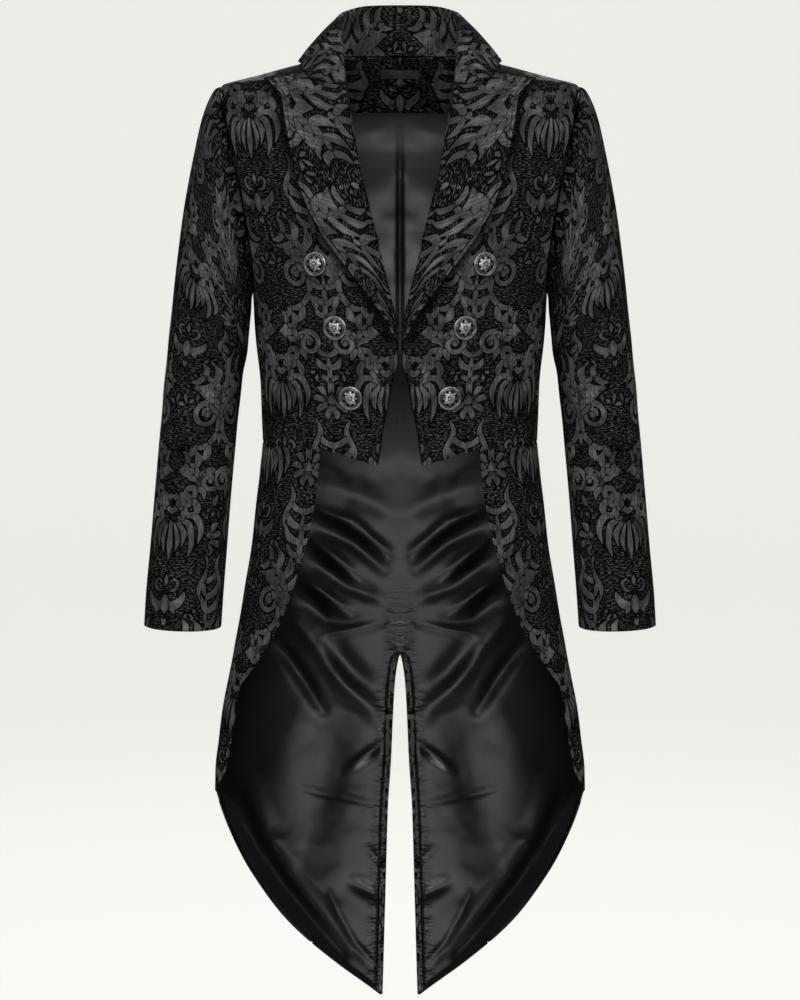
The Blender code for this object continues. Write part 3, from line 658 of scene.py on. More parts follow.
def soften(sheet: Sheet, size: float, phase: float, wave: float = 110.0) -> None:
    """Gives the cloth a slow unevenness, still at its edges, from a few crossing waves."""
    s, v = sheet.across / wave * 2 * np.pi, sheet.down / wave * 2 * np.pi
    swell = (np.sin(0.7 * s + 0.5 * v + phase) + 0.7 * np.sin(1.3 * s - 0.9 * v + 2.1 * phase)
             + 0.5 * np.sin(0.4 * s + 1.9 * v + 0.7 * phase)) / 2.2
    edge = np.minimum(np.minimum(sheet.near, sheet.far), np.minimum(sheet.top, sheet.foot))
    sheet.lift(size * swell * ramp(edge, 0, 30))


class Texture:
    """Helps to lay out one material's or one group's nodes."""

    def __init__(self, tree: bpy.types.NodeTree) -> None:
        """Keeps the tree that nodes are added to."""
        self.tree = tree

    def add(self, kind: str, **settings: object) -> bpy.types.Node:
        """Adds a node and sets its properties."""
        node = self.tree.nodes.new(kind)
        for name, value in settings.items():
            setattr(node, name, value)
        return node

    def feed(self, node: bpy.types.Node, socket: object, value: object) -> None:
        """Links an output into a socket, or sets the socket's own number or colour."""
        target = node.inputs[socket]
        if isinstance(value, Socket):
            self.tree.links.new(value, target)
        else:
            target.default_value = value

    def math(self, operation: str, *values: object, clamp: bool = False) -> Socket:
        """A Math node on up to three values."""
        node = self.add("ShaderNodeMath", operation=operation, use_clamp=clamp)
        for index, value in enumerate(values):
            self.feed(node, index, value)
        return node.outputs[0]

    def mapped(self, value: object, low: float, high: float, to_low: float = 0.0,
               to_high: float = 1.0) -> Socket:
        """A soft step between two values."""
        node = self.add("ShaderNodeMapRange", interpolation_type="SMOOTHSTEP")
        for index, number in enumerate((value, low, high, to_low, to_high)):
            self.feed(node, index, number)
        return node.outputs[0]

    def mix(self, share: object, first: object, second: object) -> Socket:
        """A colour between two colours."""
        node = self.add("ShaderNodeMix", data_type="RGBA")
        self.feed(node, 0, share)
        self.feed(node, 6, first)
        self.feed(node, 7, second)
        return node.outputs[2]

    def noise(self, vector: Socket, scale: object, detail: float = 2.0, rough: float = 0.5) -> Socket:
        """Noise of one size."""
        node = self.add("ShaderNodeTexNoise")
        for socket, value in (("Vector", vector), ("Scale", scale), ("Detail", detail), ("Roughness", rough)):
            self.feed(node, socket, value)
        return node.outputs["Fac"]

    def stretched(self, vector: Socket, scale: Triple) -> Socket:
        """A vector scaled by three numbers."""
        node = self.add("ShaderNodeMapping")
        self.feed(node, "Vector", vector)
        self.feed(node, "Scale", scale)
        return node.outputs[0]

    def times(self, *values: object) -> Socket:
        """All values multiplied together."""
        total = values[0]
        for value in values[1:]:
            total = self.math("MULTIPLY", total, value)
        return total

    def lifted(self, value: object, by: object, onto: object) -> Socket:
        """A value times another, added onto a third."""
        return self.math("MULTIPLY_ADD", value, by, onto)

    def cycles(self, way: object, pitch: object) -> Socket:
        """A wave along a way, from -1 to 1 and back in each pitch."""
        return self.math("SINE", self.times(self.math("DIVIDE", way, pitch), 2 * math.pi))

    def bump(self, shader: bpy.types.Node, strength: float, distance: float, height: object) -> None:
        """Gives a shader relief from a height."""
        node = self.add("ShaderNodeBump")
        for socket, value in (("Strength", strength), ("Distance", distance), ("Height", height)):
            self.feed(node, socket, value)
        self.feed(shader, "Normal", node.outputs[0])

    def attribute(self, name: str) -> Socket:
        """A value kept at the mesh's points."""
        return self.add("ShaderNodeAttribute", attribute_name=name).outputs["Fac"]

    def flat_place(self) -> Socket:
        """The place on the flat cloth, in metres."""
        return self.add("ShaderNodeUVMap", uv_map="cloth").outputs[0]


def group_with(name: str, inputs: Sequence[tuple[str, str]], outputs: Sequence[tuple[str, str]],
               ) -> tuple[bpy.types.NodeTree, Texture, bpy.types.Node, bpy.types.Node]:
    """An empty shader group with its sockets.

    Args:
        name: the group's name.
        inputs: socket names and kinds.
        outputs: socket names and kinds.

    Returns:
        The group, its layout helper, and its input and output nodes.
    """
    group = bpy.data.node_groups.new(name, "ShaderNodeTree")
    for words, way in ((inputs, "INPUT"), (outputs, "OUTPUT")):
        for word, kind in words:
            group.interface.new_socket(name=word, in_out=way, socket_type=f"NodeSocket{kind}")
    lay = Texture(group)
    return group, lay, lay.add("NodeGroupInput"), lay.add("NodeGroupOutput")


def make_weave_group() -> bpy.types.NodeTree:
    """Threads that cross: a height and a tone that vary with each thread."""
    group, lay, given, out = group_with(
        "crossing_threads",
        [("Place", "Vector"), ("Warp Pitch", "Float"), ("Weft Pitch", "Float")],
        [("Height", "Float"), ("Tone", "Float")])
    split = lay.add("ShaderNodeSeparateXYZ")
    lay.feed(split, 0, given.outputs["Place"])
    threads = [lay.cycles(split.outputs[axis], given.outputs[pitch])
               for axis, pitch in ((0, "Warp Pitch"), (1, "Weft Pitch"))]
    lay.feed(out, "Height", lay.lifted(lay.times(*threads), 0.5, 0.5))
    slub = lay.noise(lay.stretched(given.outputs["Place"], (120, 900, 1)), 1.0, 3.0, 0.6)
    lay.feed(out, "Tone", lay.mapped(slub, 0.3, 0.7))
    return group


def make_wear_group() -> bpy.types.NodeTree:
    """Slow unevenness of dye and nap over a piece."""
    group, lay, given, out = group_with(
        "uneven_nap", [("Place", "Vector"), ("Size", "Float")], [("Tone", "Float")])
    cloudy = lay.noise(given.outputs["Place"], given.outputs["Size"], 3.0)
    lay.feed(out, "Tone", lay.mapped(cloudy, 0.3, 0.7))
    return group


def make_stitch_group() -> bpy.types.NodeTree:
    """A row of stitches at a way from an edge: where the thread lies and how deep its bed is."""
    group, lay, given, out = group_with(
        "edge_stitches",
        [("Way", "Float"), ("Run", "Float"), ("Set Back", "Float"), ("Pitch", "Float")],
        [("Thread", "Float"), ("Bed", "Float")])
    off = lay.math("ABSOLUTE", lay.math("SUBTRACT", given.outputs["Way"], given.outputs["Set Back"]))
    lay.feed(out, "Bed", lay.mapped(off, 0.0003, 0.0013, 1.0, 0.0))
    dash = lay.mapped(lay.cycles(given.outputs["Run"], given.outputs["Pitch"]), -0.6, -0.2)
    lay.feed(out, "Thread", lay.times(dash, lay.mapped(off, 0.0002, 0.0006, 1.0, 0.0)))
    return group


class Groups:
    """The effects that several finishes share, each built once."""

    def __init__(self) -> None:
        """Builds the groups."""
        self.weave = make_weave_group()
        self.wear = make_wear_group()
        self.stitch = make_stitch_group()

    @staticmethod
    def place(lay: Texture, group: bpy.types.NodeTree, **values: object) -> bpy.types.Node:
        """Places a group in a material with the material's own values.

        Args:
            lay: the material's layout.
            group: the group.
            values: a value or an output for each input, spaces written as underscores.

        Returns:
            The group's node.
        """
        node = lay.add("ShaderNodeGroup")
        node.node_tree = group
        for name, value in values.items():
            lay.feed(node, name.replace("_", " "), value)
        return node


GROUPS = Groups()


def blank_material(name: str) -> tuple[bpy.types.Material, Texture, bpy.types.Node]:
    """A new material with its layout helper and its Principled shader."""
    made = bpy.data.materials.new(name)
    made.use_nodes = True
    return made, Texture(made.node_tree), made.node_tree.nodes["Principled BSDF"]


@dataclass(frozen=True)
class DamaskCloth:
    """The outer cloth: a dull ribbed ground with smoother figures, each outlined and veined; painted sheen on
    the figures, painted shade at edges.
    """

    ground: Colour = (0.0014, 0.0014, 0.0016, 1)
    fleck: Colour = (0.118, 0.118, 0.121, 1)
    figure: Colour = (0.096, 0.096, 0.099, 1)
    figure_sheen: Colour = (0.270, 0.270, 0.276, 1)
    # near black of the outlines and veins, also used for the painted shade at stitched edges
    outline: Colour = (0.001, 0.001, 0.001, 1)
    ground_rough: float = 0.78
    figure_rough: float = 0.46

    def make(self) -> bpy.types.Material:
        """Builds the material."""
        made, lay, shader = blank_material("black_damask")
        place = lay.flat_place()
        motif = lay.attribute("motif")
        inside = lay.mapped(motif, -0.0003, 0.0003)
        rim = lay.times(lay.mapped(motif, -0.0022, -0.0010), lay.mapped(motif, -0.0003, 0.0002, 1.0, 0.0))
        vein = lay.math("ABSOLUTE", lay.attribute("vein"))
        vein_line = lay.times(lay.mapped(vein, 0.0004, 0.0013, 1.0, 0.0), inside,
                              lay.mapped(motif, 0.0018, 0.0040, 1.0, 0.25))
        spine = lay.times(lay.mapped(lay.math("ABSOLUTE", lay.attribute("spine")), 0.0003, 0.0007, 1.0, 0.0),
                          lay.mapped(motif, 0.0012, 0.0020, 0.0, 0.35))

        flecks = lay.noise(lay.stretched(place, (230, 760, 1)), 1.0, 1.5, 0.5)
        weave = Groups.place(lay, GROUPS.weave, Place=place, Warp_Pitch=0.0011, Weft_Pitch=0.0009)
        nap = Groups.place(lay, GROUPS.wear, Place=place, Size=14.0)
        patch = Groups.place(lay, GROUPS.wear, Place=place, Size=48.0)
        ground = lay.mix(lay.mapped(flecks, 0.52, 0.62), self.ground, self.fleck)
        # painted sheen: the figures turn lighter towards a leaf's middle and along soft streaks
        streak = lay.noise(lay.stretched(place, (420, 60, 1)), 1.0, 3.0, 0.6)
        painted_sheen = lay.times(lay.mapped(streak, 0.38, 0.68), lay.mapped(motif, 0.0, 0.005, 0.35, 1.0))
        cloth = lay.mix(inside, ground, lay.mix(painted_sheen, self.figure, self.figure_sheen))
        lines = lay.math("MAXIMUM", lay.math("MAXIMUM", rim, vein_line), spine)
        cloth = lay.mix(lay.times(lines, 0.9), cloth, self.outline)
        way = lay.attribute("edge_way")
        stitch = Groups.place(lay, GROUPS.stitch, Way=way, Run=lay.attribute("edge_run"),
                              Set_Back=TAILORING.stitch_way * MM, Pitch=0.0034)
        thread, bed = stitch.outputs["Thread"], stitch.outputs["Bed"]
        # painted shade: the cloth darkens into the stitch groove and along the turned edge of the fronts and
        # lapels
        painted_edge_shade = lay.math("MAXIMUM", lay.times(bed, 0.75), lay.mapped(way, 0.0010, 0.0030, 0.95, 0.0))
        cloth = lay.mix(lay.times(thread, 0.6), lay.mix(painted_edge_shade, cloth, self.outline), self.fleck)
        # the shaded value is a painted shadow beside the lapel's edge; nap, patches and thread tone vary at
        # random
        shade = lay.times(lay.lifted(nap.outputs["Tone"], 0.45, 0.55),
                          lay.math("SUBTRACT", 1.0, lay.attribute("shaded")),
                          lay.lifted(patch.outputs["Tone"], 0.8, 0.5),
                          lay.lifted(weave.outputs["Tone"], 0.25, 0.85))
        tint = lay.add("ShaderNodeMix", data_type="RGBA", blend_type="MULTIPLY")
        for socket, value in ((0, 1.0), (6, cloth), (7, shade)):
            lay.feed(tint, socket, value)
        lay.feed(shader, "Base Color", tint.outputs[2])

        rough = lay.mapped(inside, 0.0, 1.0, self.ground_rough, self.figure_rough)
        lay.feed(shader, "Roughness", lay.math("MULTIPLY_ADD", lines, 0.3, rough, clamp=True))
        lay.feed(shader, "Specular IOR Level", 0.10)

        height = lay.lifted(lay.mapped(motif, -0.0012, 0.0008), 0.55, lay.times(flecks, 0.5))
        for part, size in ((weave.outputs["Height"], 0.18), (lines, -0.5), (bed, -0.8), (thread, 0.5)):
            height = lay.lifted(part, size, height)
        lay.bump(shader, 0.55, 0.0006, height)
        return made


@dataclass(frozen=True)
class Satin:
    """The lining's black satin, close and glossy, with fine threads that run down it."""

    dark: Colour = (0.0015, 0.0015, 0.0017, 1)
    light: Colour = (0.0045, 0.0045, 0.0050, 1)
    rough: float = 0.30

    def make(self) -> bpy.types.Material:
        """Builds the material."""
        made, lay, shader = blank_material("black_satin")
        place = lay.flat_place()
        weave = Groups.place(lay, GROUPS.weave, Place=place, Warp_Pitch=0.0006, Weft_Pitch=0.0016)
        nap = Groups.place(lay, GROUPS.wear, Place=place, Size=9.0)
        tone = lay.lifted(weave.outputs["Tone"], 0.5, lay.times(nap.outputs["Tone"], 0.5))
        lay.feed(shader, "Base Color", lay.mix(tone, self.dark, self.light))
        lay.feed(shader, "Roughness", lay.lifted(tone, 0.08, self.rough))
        lay.feed(shader, "Specular IOR Level", 0.75)
        creased = lay.noise(lay.stretched(place, (34, 95, 1)), 1.0, 2.5, 0.55)
        low = lay.add("ShaderNodeSeparateXYZ")
        lay.feed(low, 0, lay.add("ShaderNodeTexCoord").outputs["Object"])
        gather = lay.times(lay.mapped(lay.attribute("edge_way"), 0.001, 0.030, 1.0, 0.0),
                           lay.mapped(low.outputs[2], -0.68, -0.60, 1.0, 0.0))
        height = lay.lifted(weave.outputs["Height"], 0.004, lay.times(creased, gather))
        lay.bump(shader, 1.0, 0.006, height)
        return made


@dataclass(frozen=True)
class Tape:
    """The label's plain woven tape, left bare."""

    dark: Colour = (0.030, 0.030, 0.030, 1)
    light: Colour = (0.110, 0.108, 0.104, 1)

    def make(self) -> bpy.types.Material:
        """Builds the material."""
        made, lay, shader = blank_material("woven_tape")
        place = lay.flat_place()
        weave = Groups.place(lay, GROUPS.weave, Place=place, Warp_Pitch=0.0008, Weft_Pitch=0.0008)
        nap = Groups.place(lay, GROUPS.wear, Place=place, Size=60.0)
        tone = lay.times(weave.outputs["Tone"], nap.outputs["Tone"])
        lay.feed(shader, "Base Color", lay.mix(tone, self.dark, self.light))
        lay.feed(shader, "Roughness", 0.6)
        lay.bump(shader, 0.4, 0.0003, weave.outputs["Height"])
        return made


@dataclass(frozen=True)
class AntiqueMetal:
    """The buttons' silvered metal, dark in its hollows and rubbed bright on its high places."""

    bright: Colour = (0.50, 0.495, 0.48, 1)
    dark: Colour = (0.020, 0.019, 0.018, 1)
    rough: float = 0.31

    def make(self) -> bpy.types.Material:
        """Builds the material."""
        made, lay, shader = blank_material("antique_silver")
        place = lay.add("ShaderNodeTexCoord").outputs["Object"]
        relief = lay.attribute("relief")
        stain = Groups.place(lay, GROUPS.wear, Place=place, Size=420.0)
        rubbed = lay.mapped(lay.lifted(stain.outputs["Tone"], 0.35, relief), 0.25, 0.75)
        lay.feed(shader, "Base Color", lay.mix(rubbed, self.dark, self.bright))
        lay.feed(shader, "Roughness", lay.mapped(rubbed, 0.0, 1.0, 0.55, self.rough))
        lay.feed(shader, "Metallic", 1.0)
        lay.bump(shader, 0.25, 0.0002, stain.outputs["Tone"])
        return made


class Finishes:
    """All finishes of the coat, made once."""

    def __init__(self) -> None:
        """Builds the materials."""
        self.damask = DamaskCloth().make()
        self.satin = Satin().make()
        self.tape = Tape().make()
        self.metal = AntiqueMetal().make()


FINISHES = Finishes()


@dataclass(frozen=True)
class Flat:
    """The flat cut of a piece: its largest width and length, and its area, in metres."""

    width: float
    length: float
    area: float


def write_values(mesh: bpy.types.Mesh, name: str, values: np.ndarray) -> None:
    """Keeps a value at each point of a mesh."""
    kept = mesh.attributes.new(name, "FLOAT", "POINT")
    kept.data.foreach_set("value", np.ascontiguousarray(values, dtype=np.float32).ravel())


def thin_inside(piece: bpy.types.Object, kept: float) -> None:
    """Gives a wall's hidden inner face fewer and larger triangles.

    Args:
        piece: a closed wall whose inner face has the second material.
        kept: share of all its triangles that stays.
    """
    shown = {spot for face in piece.data.polygons if face.material_index == 0 for spot in face.vertices}
    inside = piece.vertex_groups.new(name="inside")
    inside.add([spot.index for spot in piece.data.vertices if spot.index not in shown], 1.0, "REPLACE")
    fewer = piece.modifiers.new("fewer", "DECIMATE")
    fewer.ratio = kept
    fewer.vertex_group = inside.name
    fewer.vertex_group_factor = 1000.0
    bpy.ops.object.modifier_apply(modifier=fewer.name)
    piece.vertex_groups.clear()


def sew(name: str, sheet: Sheet, thick: float, outside: bpy.types.Material = FINISHES.damask,
        inside: bpy.types.Material = FINISHES.damask, side: Side = Side.LEFT,
        stitched: Stitched = Stitched.NONE, turned: bool = False, rounded: bool = True,
        shaded: float | np.ndarray = 0.0) -> bpy.types.Object:
    """Makes a closed wall of cloth from a sheet's grid.

    Args:
        name: the piece's name.
        sheet: its outer face, for the wearer's left.
        thick: the cloth's thickness, which lies inwards.
        outside: finish of the outer face and the cut edge.
        inside: finish of the inner face.
        side: the right side is the mirror image.
        stitched: which edge has a row of stitches.
        turned: the pattern lies across the piece instead of down it.
        rounded: the cut edge is rounded off.
        shaded: how far each point is shaded by a piece that lies over it.

    Returns:
        The finished object.
    """
    rows, columns = sheet.points.shape[:2]
    bpy.ops.object.select_all(action="DESELECT")
    bpy.ops.mesh.primitive_grid_add(x_subdivisions=columns - 1, y_subdivisions=rows - 1, size=2.0)
    piece = bpy.context.object
    piece.name = name
    mesh = piece.data
    mesh.name = name
    spots = np.empty(len(mesh.vertices) * 3)
    mesh.vertices.foreach_get("co", spots)
    spots = spots.reshape(-1, 3)
    col = np.rint((spots[:, 0] + 1) / 2 * (columns - 1)).astype(int)
    row = np.rint((1 - spots[:, 1]) / 2 * (rows - 1)).astype(int)
    points = sheet.points * np.array([side.value, 1.0, 1.0]) * MM
    face = np.cross(np.gradient(sheet.points, axis=1), -np.gradient(sheet.points, axis=0))
    inside_out = float(np.sum(face * sheet.normals)) < 0
    if (side is Side.RIGHT) != inside_out:
        col = columns - 1 - col
    mesh.vertices.foreach_set("co", points[row, col].ravel())
    across, down = (sheet.down, sheet.across) if turned else (sheet.across, sheet.down)
    for chart_name, chart in CHARTS.items():
        write_values(mesh, chart_name, DAMASK.read(chart, across, down)[row, col] * MM)
    away = np.full_like(sheet.near, FAR_AWAY)
    way = {Stitched.NEAR: sheet.near, Stitched.FAR: sheet.far}.get(stitched, away)
    write_values(mesh, "edge_way", way[row, col] * MM)
    write_values(mesh, "shaded", (away * 0 + shaded)[row, col])
    write_values(mesh, "edge_run", sheet.top[row, col] * MM)
    uv = mesh.uv_layers.active or mesh.uv_layers.new()
    uv.name = "cloth"
    corner = np.empty(len(mesh.loops), dtype=np.int32)
    mesh.loops.foreach_get("vertex_index", corner)
    flat = np.stack([across[row, col], -down[row, col]], axis=-1) * MM
    uv.data.foreach_set("uv", flat[corner].astype(np.float32).ravel())
    mesh.update()

    mesh.materials.append(outside)
    mesh.materials.append(inside)
    wall = piece.modifiers.new("wall", "SOLIDIFY")
    wall.thickness = thick * MM
    wall.offset = -1.0
    wall.use_even_offset = False
    wall.material_offset = 1
    wall.material_offset_rim = 0
    bpy.ops.object.modifier_apply(modifier=wall.name)
    if inside is not outside:
        thin_inside(piece, TAILORING.kept)
    if rounded:
        rim = piece.modifiers.new("rim", "BEVEL")
        rim.width = TAILORING.rim * MM
        rim.segments = 1
        rim.limit_method = "ANGLE"
        rim.angle_limit = math.radians(60)
        bpy.ops.object.modifier_apply(modifier=rim.name)
    bpy.ops.object.shade_smooth_by_angle(angle=math.radians(50))
    return piece


def hang(piece: bpy.types.Object, nodes: Sequence[str]) -> None:
    """Attaches a sewn piece to the root and hides the solids that it replaces.

    Args:
        piece: the object.
        nodes: solids that it stands for.
    """
    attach(piece, "root")
    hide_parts(*nodes)
    LOG.info("%s: %d faces", piece.name, len(piece.data.polygons))


def sew_pair(kind: str, cloth: str, sheet: Sheet, flat: Flat, held: str = "hung", **sewing: object) -> None:
    """Args:
        kind: the solids' name without its side.
        cloth: word for what it is made of, in the piece's name.
        sheet: the left piece's outer face.
        flat: the cut of one piece; not used.
        held: how the cloth is held; not used.
        sewing: what else sew() is told.
    """
    satin = cloth == "satin"
    sewing.setdefault("thick", TAILORING.lining if satin else TAILORING.cloth)
    for side in Side:
        piece = sew(f"{kind}_{cloth}_{side.word}", sheet, side=side, **sewing)
        hang(piece, [f"{kind}_{side.word}"])


@dataclass
class Fronts:
    """The two fronts, from the neck and shoulder to the waist seam, cut away below the lowest button."""

    flat: Flat = Flat(0.270, 0.485, 0.092)
    origin: float = 52.0
    drop_from: float = -60.0
    swell: float = 0.7
    swell_phase: float = 1.3
    lapel_shade: float = 0.85
    shade_start: float = 5.5
    shade_end: float = 15.0

    def sheet(self) -> Sheet:
        """The left front's grid."""
        stops = [*CUT.neck_rows, *CUT.armhole_rows(), *CUT.chest_rows]
        heights = FORM.rows(stops, TAILORING.cell)
        far = np.where(heights > CUT.shoulder, 90, CUT.armhole_at(heights, -CUT.armhole_front))
        far = np.where(heights < CUT.underarm, CUT.angle_of(CUT.side_seam, heights), far)
        near = CUT.angle_of(CUT.neck_and_front, heights)
        angle, height, across, down = TAILORING.ruled(
            near, far, heights, TAILORING.cell, self.origin, TAILORING.stitch_steps, TAILORING.seam_steps,
            self.drop_from)
        share = np.clip((CUT.waist + CUT.waist_dip - height) / CUT.waist_dip, 0, 1) ** 2
        seam = smooth_at([p.angle for p in CUT.waist_seam], [p.height for p in CUT.waist_seam], angle)
        dip = share * (seam - CUT.waist)
        sheet = TAILORING.panel(angle, height + dip, across, down - dip)
        soften(sheet, self.swell, self.swell_phase)
        press_seams(sheet, sheet.far, sheet.foot)
        press_stitches(sheet, sheet.near)
        return sheet

    def shade(self, sheet: Sheet) -> np.ndarray:
        """How far each point of the front is shaded by the lapel's edge beside it."""
        edge = Lapels().sheet().points[::2, -1]
        gap = np.min(np.linalg.norm(sheet.points[:, :, None] - edge, axis=-1), axis=-1)
        return self.lapel_shade * (1 - ramp(gap, self.shade_start, self.shade_end))

    def build(self) -> None:
        """Builds both fronts."""
        sheet = self.sheet()
        sew_pair("front", "cloth", sheet, self.flat, inside=FINISHES.satin, stitched=Stitched.NEAR,
                 shaded=self.shade(sheet))


@dataclass
class SideBodies:
    """The narrow panels under the arms."""

    flat: Flat = Flat(0.150, 0.300, 0.030)
    origin: float = 122.0
    drop_from: float = -60.0

    def build(self) -> None:
        """Builds both side bodies."""
        stops = [h for h in CUT.armhole_rows() if h < CUT.armhole_middle + 1] + [*CUT.chest_rows]
        heights = FORM.rows(stops, TAILORING.coarse)
        near = np.where(heights > CUT.underarm, CUT.armhole_at(heights, CUT.armhole_back),
                        CUT.angle_of(CUT.side_seam, heights))
        far = CUT.angle_of(CUT.side_back_seam, heights)
        sheet = TAILORING.panel(*TAILORING.ruled(
            near, far, heights, TAILORING.coarse, self.origin, TAILORING.seam_steps, TAILORING.seam_steps,
            self.drop_from))
        press_seams(sheet, sheet.near, sheet.far, sheet.foot)
        sew_pair("side", "cloth", sheet, self.flat, inside=FINISHES.satin)


@dataclass
class Backs:
    """The two backs in one length from the neck to the tips of the tails."""

    flat: Flat = Flat(0.240, 1.215, 0.125)
    origin: float = 180.0
    drop_from: float = -60.0
    swell: float = 0.8
    swell_phase: float = 4.2
    swell_wave: float = 160.0

    def edges(self, heights: np.ndarray) -> tuple[np.ndarray, np.ndarray]:
        """Angles of the back's outer and middle edge at some heights."""
        side = np.where(heights > CUT.shoulder, 90, CUT.armhole_at(heights, CUT.armhole_back))
        side = np.where(heights < CUT.armhole_middle + 1, CUT.angle_of(CUT.side_back_seam, heights), side)
        side = np.where(heights < CUT.skirt_foot, CUT.angle_of(CUT.skirt_edge, heights), side)
        middle = np.where(heights < CUT.vent_top, CUT.angle_of(CUT.vent_edge, heights), 180)
        return side, middle

    def build(self) -> None:
        """Builds both backs."""
        above = [h for h in CUT.armhole_rows() if h > CUT.armhole_middle - 1]
        heights = FORM.rows([*CUT.neck_rows, *above, *CUT.back_rows, CUT.tail_tip], TAILORING.coarse)
        near, far = self.edges(heights)
        sheet = TAILORING.panel(*TAILORING.ruled(
            near, far, heights, TAILORING.coarse, self.origin, TAILORING.seam_steps, TAILORING.stitch_steps,
            self.drop_from))
        press_seams(sheet, sheet.near, np.where(heights[:, None] > CUT.vent_top, sheet.far, FAR_AWAY))
        soften(sheet, self.swell, self.swell_phase, self.swell_wave)
        sew_pair("back", "cloth", sheet, self.flat, inside=FINISHES.satin)


@dataclass
class Skirts:
    """The two skirts, from the waist seam down, cut away in a sweep towards the tails."""

    flat: Flat = Flat(0.330, 0.660, 0.155)
    origin: float = 66.0
    drop_from: float = -434.0
    swell: float = 1.0
    swell_phase: float = 0.4
    swell_wave: float = 150.0

    def build(self) -> None:
        """Builds both skirts."""
        heights = FORM.rows(CUT.skirt_rows, TAILORING.cell)
        near, far = CUT.angle_of(CUT.skirt_edge, heights), CUT.angle_of(CUT.side_back_seam, heights)
        sheet = TAILORING.panel(*TAILORING.ruled(
            near, far, heights, TAILORING.cell, self.origin, TAILORING.stitch_steps, TAILORING.seam_steps,
            self.drop_from))
        soften(sheet, self.swell, self.swell_phase, self.swell_wave)
        press_seams(sheet, sheet.far, sheet.top)
        sew_pair("skirt", "cloth", sheet, self.flat, inside=FINISHES.satin)


class LapelRow(NamedTuple):
    """A row of the lapel, from its roll line to its outer edge."""

    roll_height: float
    roll_angle: float
    edge_height: float
    edge_angle: float
    edge_lift: float


class RollPoint(NamedTuple):
    """A point of the roll: its way along the front, and its lift off it."""

    way: float
    lift: float


@dataclass
class Lapels:
    """The two peaked lapels: a soft roll at the front's edge, then a leaf that lies over the front."""

    flat: Flat = Flat(0.125, 0.345, 0.027)
    rows: tuple[LapelRow, ...] = (
        LapelRow(-28, 17.0, -17, 48.0, 5.5), LapelRow(-47, 15.7, -37, 38.3, 5.2),
        LapelRow(-76, 14.4, -65, 36.7, 4.6), LapelRow(-109, 13.1, -98, 35.0, 4.9),
        LapelRow(-142, 11.2, -131, 33.3, 5.6), LapelRow(-167, 9.7, -158, 31.0, 6.4),
        LapelRow(-190, 8.2, -188, 27.3, 6.8), LapelRow(-214, 6.7, -214, 22.2, 6.4),
        LapelRow(-243, 4.8, -245, 15.4, 5.2), LapelRow(-271, 2.6, -273, 8.2, 4.2),
        LapelRow(-288, 1.2, -292, 4.3, 3.6), LapelRow(-299, 0.5, -304, 2.8, 3.0),
    )
    roll: tuple[RollPoint, ...] = (RollPoint(6.0, -1.0), RollPoint(2.9, -1.0), RollPoint(0.8, -0.1),
                                   RollPoint(0.0, 1.6), RollPoint(0.8, 3.4), RollPoint(3.0, 4.3))
    spring: float = 1.6
    roll_columns: int = 20
    roll_width: float = 20.0
    pattern_size: float = 1.2
    pattern_shift: float = 30.0
    pattern_drop: float = 120.0

    def sheet(self) -> Sheet:
        """The left lapel's grid, from its outer face."""
        table = np.array(self.rows, float)
        runs = np.concatenate([[0], np.cumsum(np.hypot(np.diff(table[:, 0]), np.diff(table[:, 2])) / 1.41)])
        wanted = np.linspace(0, runs[-1], round(runs[-1] / TAILORING.cell) + 1)
        roll_height, roll_angle, edge_height, edge_angle, edge_lift = (
            smooth_at(runs, table[:, k], wanted) for k in range(5))
        start, end = FORM.point(roll_angle, roll_height), FORM.point(edge_angle, edge_height)
        widths = np.linalg.norm(end - start, axis=1)
        bend = curve_at(np.array(self.roll, float), np.linspace(0, len(self.roll) - 1, self.roll_columns))
        steps = np.array(TAILORING.stitch_steps)[::-1]
        leaf = max(6, round((np.percentile(widths, 70) - bend[-1, 0] - steps[0]) / TAILORING.cell))
        points = []
        for row, width in enumerate(widths):
            scale = min(1.0, 0.35 * width / steps[0])
            room = width - bend[-1, 0]
            tail = 1 - steps * scale / room
            share = np.concatenate([np.linspace(0, tail[0], leaf + 1)[1:-1], tail])
            way = np.concatenate([bend[:, 0], bend[-1, 0] + room * share])
            lift = np.concatenate([bend[:, 1], bend[-1, 1] + (edge_lift[row] - bend[-1, 1]) * share
                                   + self.spring * np.sin(np.pi * share)])
            part = way / width
            angle = roll_angle[row] + (edge_angle[row] - roll_angle[row]) * part
            height = roll_height[row] + (edge_height[row] - roll_height[row]) * part
            points.append(FORM.point(angle, height) + FORM.normal(angle, height) * lift[:, None])
        middle = np.array(points)
        normal = unit(np.cross(np.gradient(middle, axis=0), np.gradient(middle, axis=1)))
        normal *= np.sign(-normal[len(middle) // 2, -3, 1])
        sheet = Sheet.measured(middle + normal * TAILORING.cloth / 2, normal)
        sheet.across = (sheet.across + self.pattern_drop) / self.pattern_size
        sheet.down = (sheet.down + self.pattern_shift) / self.pattern_size
        press_stitches(sheet, sheet.far)
        press_stitches(sheet, np.where(sheet.near > self.roll_width, sheet.top, FAR_AWAY))
        return sheet

    def build(self) -> None:
        """Builds both lapels."""
        sew_pair("lapel", "cloth", self.sheet(), self.flat, "folded", stitched=Stitched.FAR, turned=True)


class CollarStation(NamedTuple):
    """A station of the collar: its neck seam on the form, its fold, and the edge of its fall."""

    seam_angle: float
    seam_height: float
    fold_across: float
    fold_behind: float
    fold_height: float
    edge_across: float
    edge_behind: float
    edge_height: float


